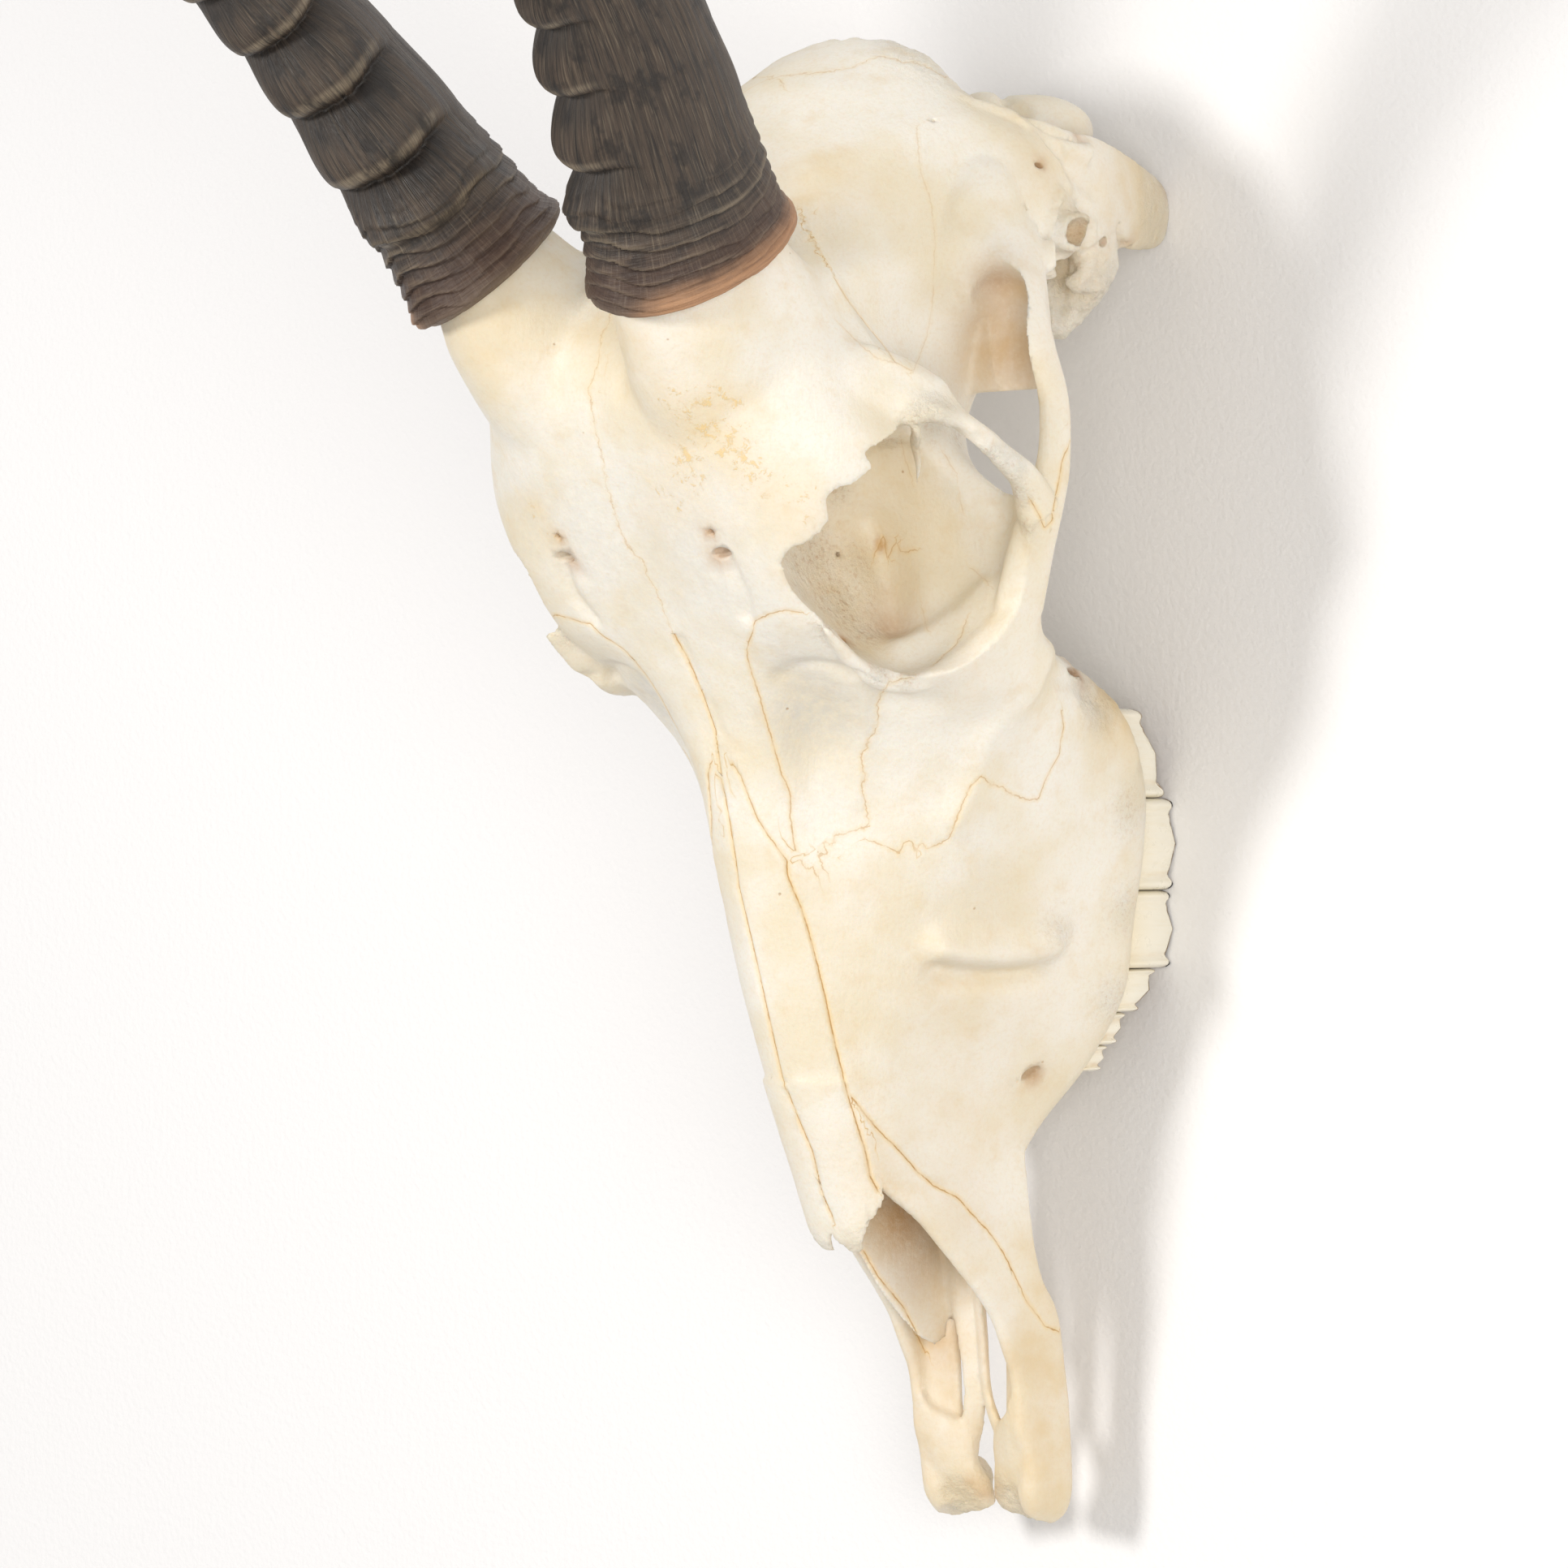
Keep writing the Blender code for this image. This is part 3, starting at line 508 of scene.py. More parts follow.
def orbitCutter():
    corners = np.array([eyePlace(pixel) for pixel in orbit["edge"]])
    loop = np.vstack([corners, corners[:1]])
    spread = np.linspace(0, len(corners), orbit["corners"], endpoint=False)
    edge = np.column_stack([np.interp(spread, np.arange(len(loop)), loop[:, axis]) for axis in range(3)])
    middle = edge.mean(axis=0)
    outward = unit(orbit["outward"])
    depths = np.array(orbit["hollow"], float)
    levels = np.linspace(0, len(depths) - 1, orbit["levels"])
    profile = smoothCurve(depths, levels / levels[-1])
    ring = edge - middle
    shares = np.linspace(0, 1, len(edge), endpoint=False)
    smoothRing = smoothCurve(ring[::orbit["everyCorner"]], shares, loop=True)
    rows = []
    for depth, share in profile:
        ragged = math.exp(-max(-depth, 0) / orbit["raggedDepth"])
        rows.append(middle + outward * depth + (ring * ragged + smoothRing * (1 - ragged)) * share)
    return gridMesh("orbitHollow", np.array(rows))


# Hollows cut out of the body: paths of (X, Y, Z, radius)
templeHollow = [(rod, "templeHollow", {
    "path": [(48, 199, 75, 5), (48.3, 205, 77.5, 9.8), (47, 215, 84.5, 12), (49, 225, 80, 12.5),
             (49, 230, 70, 11), (48, 226, 56, 11)], "sides": 32, "steps": 70, "flat": ((1, 0, 0), 0.9)})]
middleHollows = [
    (rod, "noseHollow", {
        "path": [(0, 46, 50, 22), (0, 66, 54, 19.5), (0, 84, 56, 21), (0, 104, 57, 24), (0, 122, 58, 20),
                 (0, 130, 58, 8)], "sides": 48, "steps": 60, "flat": ((1, 0, 0), 0.60)}),
    (rod, "throatHollow", {
        "path": [(0, 168, 33, 7), (0, 186, 36, 11), (0, 206, 38, 11), (0, 224, 34, 10), (0, 240, 26, 8)],
        "sides": 32, "steps": 48, "flat": ((1, 0, 0), 0.8)}),
    (rod, "brainHollow", {
        "path": [(0, 312, 24, 9.0), (0, 298, 28, 9.2), (0, 288, 34, 10), (0, 276, 50, 17), (0, 262, 62, 23),
                 (0, 248, 70, 22), (0, 238, 74, 12)], "sides": 40, "steps": 60}),
]
# Cut after the bars are on, behind the orbit
templeRecess = [(rod, "templeRecess", {
    "path": [(50.5, 220, 73, 8.0), (50.6, 236, 72.3, 8.0), (50.3, 245, 72.6, 7.8), (49.9, 251, 73.4, 6.8),
             (49.5, 255, 74.4, 4.8), (49.3, 257.3, 75, 2.0)], "sides": 32, "steps": 50})]

# Bars round the eye and the cheek arch
faceBars = [
    (rod, "browWeb", {
        "path": [(45, 233, 118, 8), (51.5, 230.5, 107.5, 7.5), (55.5, 228.3, 100.5, 5.6),
                 (58.3, 224.3, 94.5, 3.0)],
        "sides": 24, "flat": ((0.80, 0.28, 0.53), 0.36)}),
    (rod, "cheekPost", {
        "path": [(56.5, 226.5, 97.5, 2.6), (59.0, 223.3, 93.5, 2.2), (61.0, 219, 88, 2.2),
                 (61.6, 213, 79, 3.2), (60.5, 206, 73, 4.8)]}),
    (rod, "cheekArch", {
        "path": [(53, 186, 71, 5.5), (57, 200, 71, 5.2), (59.5, 214, 68, 4.0), (59.5, 228, 67.5, 3.6),
                 (57.5, 240, 70.5, 4.2), (53, 251, 71, 6.0), (46, 262, 65, 8.5)],
        "sides": 20, "steps": 60, "flat": ((1, 0, 0.25), 0.66)}),
    (edgePlate, "templeShelf", {
        "upper": [(30, 231, 66), (30, 242, 66), (30, 254, 66), (30, 266, 66)],
        "lower": [(57, 231.5, 64.5), (57, 242, 66), (55, 254, 66), (50, 266, 64)],
        "half": [2.6, 3.4, 4.5, 7]}),
    (lump, "templeSwelling", {"centre": (41, 263, 69), "radii": (7.5, 17, 12)}),
]

# Nasal bone: its ridge (Y, Z), and how far from the middle it reaches (Y, inner X, outer X)
nasal = {
    "ridge": [(50, 68.4), (52, 70.0), (54, 71.9), (60, 74.6), (67.8, 78.0), (88.4, 87.0)],
    "outline": [(88, -1.2, 13.0), (80, -1.2, 12.9), (72, -1.2, 12.7), (66, -1.2, 12.4), (64.8, -1.2, 12.3),
         (62.5, -1.2, 12.1), (59.2, -1.0, 10.3), (56.4, -0.4, 8.4), (54.0, 1.0, 7.0), (52.0, 2.3, 5.4)],
    "droop": 0.0041,
    "thickness": 2.0,
    "rows": 70,
    "across": 14,
    "under": 0.3,
}


def nasalTip():
    # the free tip of the left nasal bone: a thin shell from the middle line to its outer edge
    stations = np.linspace(0, 1, nasal["rows"])
    rows = []
    for y, inner, outer in smoothCurve(nasal["outline"], stations):
        ridge = np.interp(y, *np.array(nasal["ridge"]).T)
        x = np.linspace(inner, outer, nasal["across"])
        fromMiddle = (x - (inner + outer) / 2) / ((outer - inner) / 2)
        shell = nasal["thickness"] * np.sqrt(np.clip(1 - fromMiddle ** 2, 0, 1))
        top = ridge - nasal["droop"] * np.abs(x) ** 3
        over = np.column_stack([x, np.full(len(x), y), top])
        under = np.column_stack([x, np.full(len(x), y), top - nasal["under"] - shell])[::-1]
        rows.append(np.vstack([over, under]))
    return gridMesh("nasalTip", np.array(rows))


# Premaxilla: its two edges in the photograph with the X of each place, and half its thickness;
# then the plate at its tip, as two edge lines with half thicknesses
premaxilla = {
    "upper": [((1020, 1385), 5.0), ((1058, 1435), 8.2), ((1092, 1473), 11.0), ((1131, 1506), 12.6),
         ((1174, 1558), 14.0), ((1205, 1598), 14.8), ((1223, 1628), 15.0), ((1236, 1665), 15.0),
         ((1245, 1695), 14.8), ((1249, 1735), 14.6), ((1250, 1765), 14.4), ((1256, 1790), 14.2),
         ((1259, 1815), 14.0), ((1258, 1843), 13.4), ((1263, 1866), 12.5)],
    "lower": [((1262, 1390), 17.0), ((1266, 1440), 17.0), ((1268, 1475), 17.0), ((1271, 1510), 17.0),
         ((1275, 1542), 16.6), ((1284, 1579), 16.4), ((1297, 1604), 16.4), ((1305, 1634), 16.2),
         ((1309, 1674), 16.0), ((1315, 1726), 16.0), ((1317, 1772), 16.0), ((1318, 1808), 16.0),
         ((1317, 1840), 15.5), ((1309, 1862), 14.0), ((1294, 1871), 12.0)],
    "half": [1.6, 1.8, 2.0, 2.3, 2.5, 2.5, 2.4, 2.3, 2.3, 2.4, 2.7, 3.1, 3.4, 3.4, 2.8],
    "plateInner": [(13, 20, 31), (11.5, 17, 29.8), (5.2, 13.6, 26.2), (3.2, 10, 25.2), (3.2, 6, 24.8),
         (2.2, 3, 24.2), (0.7, -0.8, 23.0), (1.0, -4.0, 21.4)],
    "plateOuter": [(14, 20, 31.5), (14, 17, 31), (14, 13.6, 30.6), (14, 10, 29.5), (14, 5, 27.5),
         (14, 1.5, 25.0), (13.5, -2.5, 22.0), (11.5, -6.0, 19.6)],
    "plateHalf": [1.2, 1.6, 1.9, 2.2, 2.5, 2.7, 2.7, 2.2],
}

# Bones of the muzzle's floor
muzzleParts = [
    (edgePlate, "noseFloor", {
        "upper": [(15.5, 58, 33), (15.5, 44, 32), (15.2, 30, 30.5), (14.8, 18, 29.5), (14, 10, 28)],
        "lower": [(7.0, 58, 28.5), (7.0, 44, 27), (7.0, 30, 25.8), (6.6, 18, 25.2), (6.0, 10, 25.0)],
        "half": [1.2, 1.2]}),
    (lump, "premaxillaFront", {"centre": (10.2, 0.5, 20.5), "radii": (6.2, 6.0, 5.2)}),
    (rod, "palateRod", {
        "path": [(2.5, 62, 33, 3.8), (2.3, 46, 30.5, 3.4), (1.9, 32, 28.4, 2.8), (1.8, 21, 27, 2.5),
                 (3.4, 14, 25.8, 2.7), (8.0, 5, 24.5, 3.2)], "sides": 20, "steps": 60,
        "flat": ((-0.62, 0, 0.78), 0.42)}),
]


def muzzleBones():
    sideways = (1.0, 0.0, 0.0)
    upper, lower = [[onPlane(pixel, (x, 0, 0), sideways) for pixel, x in premaxilla[edge]]
                    for edge in ("upper", "lower")]
    blade = edgePlate("premaxilla", upper, lower, premaxilla["half"])
    plate = edgePlate("premaxillaPlate", premaxilla["plateInner"], premaxilla["plateOuter"],
                      premaxilla["plateHalf"])
    return [blade, plate] + modelled(muzzleParts) + [nasalTip()]


# Thin scroll bones in the nose: the left one is broken short
noseScrolls = [
    (rod, "noseScrollRight", {
        "path": [(-6.5, 84, 57, 12), (-6.5, 66, 52, 12.5), (-6.5, 54, 46, 10.5), (-6.5, 46, 41.5, 9),
                 (-6.5, 39, 37.5, 6.5), (-6.5, 34, 34.5, 4.6), (-6.5, 31, 33, 2.2)],
        "sides": 32, "steps": 70, "flat": ((1, 0, 0.1), 0.2)}),
    (rod, "noseScrollLeft", {
        "path": [(6, 84, 56, 11), (6, 70, 52, 10), (6, 64, 50, 6), (6, 60, 48, 3)],
        "sides": 32, "steps": 50, "flat": ((1, 0, -0.1), 0.17)}),
]

skullBase = [
    (rod, "condyle", {
        "path": [(8, 283, 14, 4.6), (13, 287.6, 16.5, 7.0), (16.2, 289.3, 21.2, 7.6),
                 (14.8, 290.6, 26.5, 7.0), (11, 292, 31.5, 5.0)],
        "sides": 28, "steps": 48, "flat": ((0.1, 0.97, 0.2), 0.84)}),
    (lump, "condyleKnob", {"centre": (9, 293.2, 35.5), "radii": (5.5, 3.6, 4.6)}),
    (lump, "condyleRoot", {"centre": (11, 277, 27), "radii": (11, 13, 10)}),
    (rod, "paroccipital", {
        "path": [(41, 275, 48, 12), (39.5, 274, 34, 11.6), (34.6, 272.5, 18, 9.8), (29.6, 271.5, 5.0, 7.8),
                 (27.8, 271.0, 0.6, 6.0)], "sides": 24, "steps": 50, "flat": ((0.93, 0, -0.37), 0.34)}),
    (rod, "bulla", {
        "path": [(34, 266, 34, 7.5), (33, 259, 30.5, 7.4), (29.6, 252.5, 32, 6.2), (28.2, 247.6, 33.5, 4.6),
                 (28.5, 243.6, 34, 2.4)], "sides": 28, "steps": 40}),
    (rod, "bullaSpur", {"path": [(36, 258, 36, 4), (38, 255, 33, 2.6), (38.5, 252.5, 31.5, 1.2)]}),
    (rod, "earRing", {
        "path": [(38, 264, 47, 6.5), (43.5, 265.5, 49, 6.0), (47.6, 266, 50, 4.6)], "sides": 24}),
    (rod, "pterygoid", {
        "path": [(15, 170, 30, 9), (13, 182, 34, 10), (12.5, 194, 41, 10.5), (13, 206, 49, 9),
                 (15, 220, 56, 7)],
        "sides": 24, "flat": ((1, 0, 0), 0.28)}),
    (rod, "nuchalCrest", {
        "path": [(2, 304.5, 68, 2.6), (12, 301.5, 70.5, 2.5), (21, 296.5, 70, 2.3), (29, 292, 66, 2.3),
                 (36.5, 288, 57.5, 2.6), (41, 284.5, 48.5, 3.0), (43, 281, 40, 3.2)]}),
]

# Small openings: pixels along each, half width and depth in mm
holes = [
    ("brow hole", [(881, 684), (894, 683)], 1.4, 5.0),
    ("small brow hole", [(875, 657)], 0.85, 3.0),
    ("cheek hole", [(1268, 1329), (1279, 1322)], 1.5, 5.0),
    ("pit by the cheek hole", [(1256, 1334)], 0.5, 1.2),
    ("second pit by the cheek hole", [(1250, 1341)], 0.4, 1.0),
    ("tear hole", [(1039, 789)], 1.0, 4.0),
    ("temple hole", [(1278, 203), (1283, 204)], 0.75, 3.0),
    ("ear hole", [(1324, 288), (1331, 284)], 2.9, 4.0),
    ("small ear hole", [(1357, 297)], 1.25, 2.2),
    ("jaw corner hole", [(1318, 826), (1327, 831)], 1.3, 4.0),
    ("hole in the orbit wall", [(1033, 683)], 0.6, 2.5),
    ("pit by the condyle", [(1325, 166)], 1.0, 2.5),
    ("pit in the temple", [(1265, 257)], 0.45, 1.2),
    ("pit over the temple", [(1150, 148)], 0.6, 1.0),
]


def holeTools(tree):
    tools = []
    for name, pixels, half, depth in holes:
        found = castOn(tree, pixels)
        if not len(found):
            print("no bone at", name)
            continue
        centre, normal = found[:, :3].mean(axis=0), unit(found[:, 3:].mean(axis=0))
        along = found[-1, :3] - found[0, :3]
        length = np.linalg.norm(along)
        along = unit(along) if length > 0.2 else unit(np.cross(normal, (0.3, 0.2, 0.9)))
        across = unit(np.cross(normal, along))
        along = np.cross(across, normal)
        turn = Matrix((along, across, normal)).transposed().to_euler()
        tools.append(lump("holeTool", centre, (half + length / 2, half, depth), turn))
    return bothSides(tools)


# Sculpting strokes: lines in the photograph's pixels, the brush's radius and how far it
# raises the bone, both in millimetres. Each is repeated on the other side of the head.
strokes = [
    ("fossa below the orbit", [(985, 850), (1002, 875), (1012, 925)], 7.0, -2.6),
    ("fossa's upper edge", [(962, 840), (985, 826), (1010, 822), (1040, 828), (1071, 838), (1114, 852)], 2.2,
     -1.3),
    ("fossa's lower end", [(1000, 940), (1015, 1000)], 8.0, -0.9),
    ("fossa's side wall", [(1068, 862), (1064, 900), (1059, 940), (1056, 985)], 2.2, 0.55),
    ("fossa's front wall", [(952, 850), (957, 900), (966, 950)], 3.0, 0.35),
    ("hollow under the rim", [(1090, 862), (1130, 868), (1180, 852), (1215, 822)], 4.5, -1.3),
    ("jugal ridge", [(1292, 800), (1275, 844), (1243, 884), (1219, 912), (1208, 957), (1180, 1010)], 3.6,
     1.5),
    ("hollow before the jugal ridge", [(1200, 880), (1170, 930), (1140, 990)], 8.0, -0.6),
    ("hollow behind the jugal ridge", [(1285, 890), (1262, 945)], 6.0, -0.9),
    ("cheek ridge", [(1160, 1166), (1190, 1172), (1230, 1174), (1270, 1168), (1290, 1162)], 3.6, 3.8),
    ("cheek swelling", [(1270, 1150), (1296, 1146)], 6.0, 0.5),
    ("hollow under the cheek ridge", [(1160, 1196), (1190, 1201), (1230, 1203), (1275, 1200)], 2.8, -3.0),
    ("cheek knob", [(1296, 1156), (1312, 1146)], 1.9, 0.9),
    ("cheek nodules", [(1290, 1176)], 1.4, 0.9),
    ("hollow before the cheek", [(1180, 1290), (1220, 1350)], 14.0, -1.2),
    ("lip of the cheek hole", [(1257, 1340), (1254, 1326), (1264, 1312)], 1.6, 0.5),
    ("hollow at the cheek hole", [(1274, 1328)], 3.0, -0.9),
    ("brow groove", [(898, 697), (905, 712), (914, 732), (918, 760)], 1.9, -1.4),
    ("brow hole's lap", [(880, 694), (882, 706)], 1.6, -0.6),
    ("brow hollow", [(884, 672)], 4.0, -0.7),
    ("spike below the recess", [(1248, 469)], 0.8, 0.8),
    ("alveolus of the last molar", [(1372, 878), (1384, 900), (1394, 930)], 3.4, 1.4),
    ("squamosal edge", [(1304, 238), (1293, 268), (1290, 308), (1292, 360), (1298, 400)], 1.3, 1.9),
    ("behind the squamosal edge", [(1306, 320), (1304, 350), (1308, 385)], 2.4, -2.8),
    ("temple line", [(1000, 290), (1030, 350), (1053, 395), (1079, 432), (1110, 453), (1160, 478)], 1.8,
     0.55),
    ("below the temple line", [(1012, 285), (1045, 350), (1072, 398), (1100, 432)], 3.0, -0.5),
    ("ear rim", [(1308, 292), (1312, 272), (1330, 266), (1346, 276), (1345, 296), (1330, 306), (1312, 302),
     (1308, 292)], 1.1, 1.1),
    ("small ear rim", [(1350, 292), (1357, 289), (1363, 297), (1357, 304), (1350, 300)], 0.9, 0.8),
    ("crescent over the ear", [(1304, 262), (1318, 254), (1334, 258)], 1.4, -1.6),
    ("fissure", [(1380, 282), (1384, 300), (1396, 318)], 0.9, -2.4),
    ("bulla lumps", [(1345, 325), (1325, 350)], 2.4, 1.2),
    ("bulla hollow", [(1350, 318)], 1.6, -1.2),
    ("groove over the plate", [(1296, 170), (1310, 196), (1330, 222), (1352, 236)], 2.2, -1.5),
    ("crest lines", [(1262, 150), (1283, 177), (1306, 205), (1318, 232)], 1.2, 0.7),
    ("condyle notch", [(1240, 122), (1262, 140), (1300, 160), (1335, 170)], 1.6, -1.8),
    ("flap of the jaw corner", [(1293, 792), (1312, 812), (1340, 826), (1362, 846), (1382, 868)], 1.3, 1.1),
    ("behind the jaw corner's flap", [(1300, 835), (1330, 848), (1352, 862)], 2.0, -0.8),
    ("back edge of the brow", [(1120, 492), (1160, 502), (1196, 526)], 2.4, 0.5),
    ("nasal step", [(905, 930), (925, 985), (950, 1035), (968, 1070), (990, 1125), (1012, 1210),
     (1040, 1330)], 1.6, 0.35),
    ("nasal crease", [(838, 790), (858, 850), (872, 900)], 1.4, -0.4),
    ("brow crease", [(766, 412), (770, 450), (764, 488)], 1.6, -0.35),
    ("orbit's deepest line", [(1070, 650), (1088, 690), (1098, 725), (1103, 765)], 4.2, -3.6),
    ("edge of the front wall", [(1080, 700), (1084, 718), (1089, 760)], 1.4, 0.7),
    ("orbit's inner wall", [(1140, 600), (1150, 660), (1150, 710)], 9.0, 3.5),
    ("orbit's floor ledge", [(1110, 800), (1150, 785), (1190, 760), (1220, 728)], 3.6, 2.4),
    ("under the top edge", [(1085, 562), (1110, 556)], 3.0, -2.5),
]

# Places made smoother after the parts have grown together: pixel, radius in mm, rounds
blended = [
    ((1165, 505), 8, 40), ((1130, 515), 6, 20), ((1235, 560), 4, 8), ((1270, 1440), 9, 40), ((1060, 1440), 7,
    30), ((1296, 790), 8, 20), ((1250, 288), 11, 160), ((1215, 295), 10, 160), ((1195, 330), 6, 60),
]

# Rough bone: middle (X, Y, Z), radius, size of the lumps and height in mm
roughened = [
    ("under the ear", (32, 254, 33), 15, 3.0, 1.7),
    ("ear", (45, 266, 50), 9, 1.8, 0.5),
    ("end of the upper jaw", (37, 171, 35), 15, 4.2, 1.1),
    ("alveoli", (31, 160, 14), 12, 1.7, 0.4),
    ("back of the head", (18, 297, 58), 22, 3.0, 0.5),
    ("paroccipital edge", (31, 273, 12), 14, 2.2, 0.45),
    ("muzzle tip", (8, -1, 22), 9, 1.8, 0.6),
    ("nasal tip", (6, 54, 70), 6, 1.3, 0.35),
    ("skull base", (0, 250, 28), 24, 4.0, 0.7),
    ("top of the orbit's edge", (55.5, 223, 101), 9, 2.6, 0.7),
    ("bar behind the eye", (60.5, 213, 86), 9, 2.6, 0.5),
    ("front corner of the orbit", (45, 190, 99), 8, 1.3, 0.5),
    ("front wall of the orbit", (36, 196, 88), 12, 1.5, 0.35),
    ("palate", (0, 140, 22), 30, 3.0, 0.35),
]

# Lines where bones meet, in the photograph's pixels: how far they wander in mm, how dark they
# are, and how deep their groove is in mm
seams = [
    ("forehead", [(754, 380), (750, 398), (741, 414), (739, 429), (736, 453), (724, 478), (728, 493),
     (731, 518), (736, 539), (741, 558), (744, 576), (748, 600), (756, 625), (762, 649), (771, 668),
     (784, 686), (794, 692), (796, 708), (805, 720), (814, 741), (822, 763), (829, 781)], 0.55, 0.38, 0.05),
    ("nasal", [(829, 781), (845, 809), (854, 830), (866, 860), (880, 900), (888, 960), (897, 1010),
     (905, 1060), (909, 1093), (925, 1160), (945, 1250), (963, 1330), (982, 1378), (1000, 1420),
     (1012, 1472), (1026, 1503)], 0.1, 0.9, 0.5),
    ("lacrimal top", [(985, 755), (968, 752), (950, 756), (930, 765), (927, 780), (920, 796), (921, 812),
     (928, 835), (935, 855), (943, 885), (951, 911), (962, 951), (974, 978), (974, 1008), (979, 1042),
     (983, 1056)], 0.15, 0.75, 0.12),
    ("lacrimal and jugal", [(1122, 835), (1098, 840), (1089, 850), (1082, 866), (1082, 882), (1078, 903),
     (1069, 911), (1069, 919), (1061, 930), (1062, 949), (1067, 957), (1061, 965), (1063, 978), (1067, 994),
     (1070, 1008)], 0.45, 0.55, 0.08),
    ("upper jaw", [(1070, 1016), (1061, 1022), (1053, 1021), (1058, 1034), (1050, 1026), (1029, 1030),
     (1027, 1041), (1015, 1037), (1019, 1056), (1007, 1048), (1018, 1083), (999, 1075), (988, 1064),
     (980, 1051)], 0.45, 0.55, 0.08),
    ("jugal and jaw", [(1077, 1037), (1098, 1045), (1109, 1052), (1114, 1037), (1122, 1036), (1128, 1048),
     (1136, 1038), (1141, 1045), (1149, 1045), (1157, 1040), (1168, 1034), (1176, 1016), (1189, 984),
     (1195, 970), (1209, 957), (1221, 966), (1232, 968), (1246, 978), (1262, 985), (1280, 985)], 0.3, 0.6,
     0.1),
    ("jugal back", [(1280, 985), (1287, 965), (1296, 946), (1306, 930), (1307, 914), (1311, 895),
     (1308, 874)], 0.15, 0.65, 0.12),
    ("nasal side", [(900, 938), (912, 957), (920, 978), (932, 1008), (945, 1028), (958, 1045), (970, 1061)],
     0.15, 0.8, 0.3),
    ("nasal slit", [(970, 1061), (970, 1077), (978, 1099), (988, 1120), (1000, 1160), (1015, 1220),
     (1030, 1290), (1045, 1350), (1056, 1385), (1067, 1420), (1073, 1451), (1082, 1467)], 0.1, 1.0, 0.4),
    ("premaxilla", [(1048, 1350), (1064, 1370), (1080, 1390), (1110, 1420), (1131, 1444), (1150, 1460),
     (1180, 1475), (1202, 1500), (1220, 1518), (1238, 1545), (1254, 1579), (1266, 1604), (1287, 1634),
     (1303, 1640)], 0.12, 1.0, 0.35),
    ("nose scroll", [(1064, 1542), (1082, 1573), (1113, 1610), (1128, 1640), (1141, 1668)], 0.1, 0.9, 0.1),
    ("coronal", [(986, 265), (996, 287), (1005, 306), (1018, 322), (1028, 338)], 1.3, 0.85, 0.15),
    ("coronal low", [(1028, 341), (1044, 368), (1053, 380), (1072, 405), (1088, 424), (1104, 447)], 0.08,
     0.6, 0.15),
    ("temple line", [(1034, 399), (1053, 418), (1079, 440), (1104, 447), (1123, 456)], 0.4, 0.35, 0.0),
    ("occipital", [(919, 112), (940, 100), (964, 93), (1015, 89), (1050, 83), (1082, 69), (1091, 69),
     (1111, 76), (1130, 77), (1146, 84), (1165, 96), (1174, 93)], 0.55, 0.45, 0.08),
    ("temple crack", [(1130, 160), (1133, 207), (1149, 255), (1152, 297), (1149, 376), (1142, 415),
     (1126, 456)], 0.25, 0.25, 0.0),
    ("arch", [(1270, 617), (1282, 638), (1288, 651), (1297, 642), (1300, 619), (1305, 594), (1309, 569),
     (1317, 546)], 0.08, 0.8, 0.25),
    ("orbit floor", [(1153, 817), (1165, 805), (1178, 794), (1185, 780), (1190, 766)], 0.3, 0.45, 0.1),
    ("orbit wall crack", [(1077, 687), (1083, 672), (1088, 660), (1093, 687), (1104, 668), (1110, 682),
     (1125, 677)], 0.25, 0.55, 0.1),
    ("orbit wall lines", [(1164, 560), (1176, 580)], 0.2, 0.25, 0.0),
    ("orbit wall line", [(1182, 612), (1186, 629)], 0.2, 0.25, 0.0),
    ("orbit front line", [(1110, 541), (1115, 565), (1123, 587)], 0.2, 0.25, 0.0),
    ("orbit low line", [(1137, 752), (1142, 775)], 0.2, 0.25, 0.0),
    ("orbit mid line", [(1196, 700), (1218, 718)], 0.2, 0.25, 0.0),
]
middleSeams = ("forehead", "nasal")

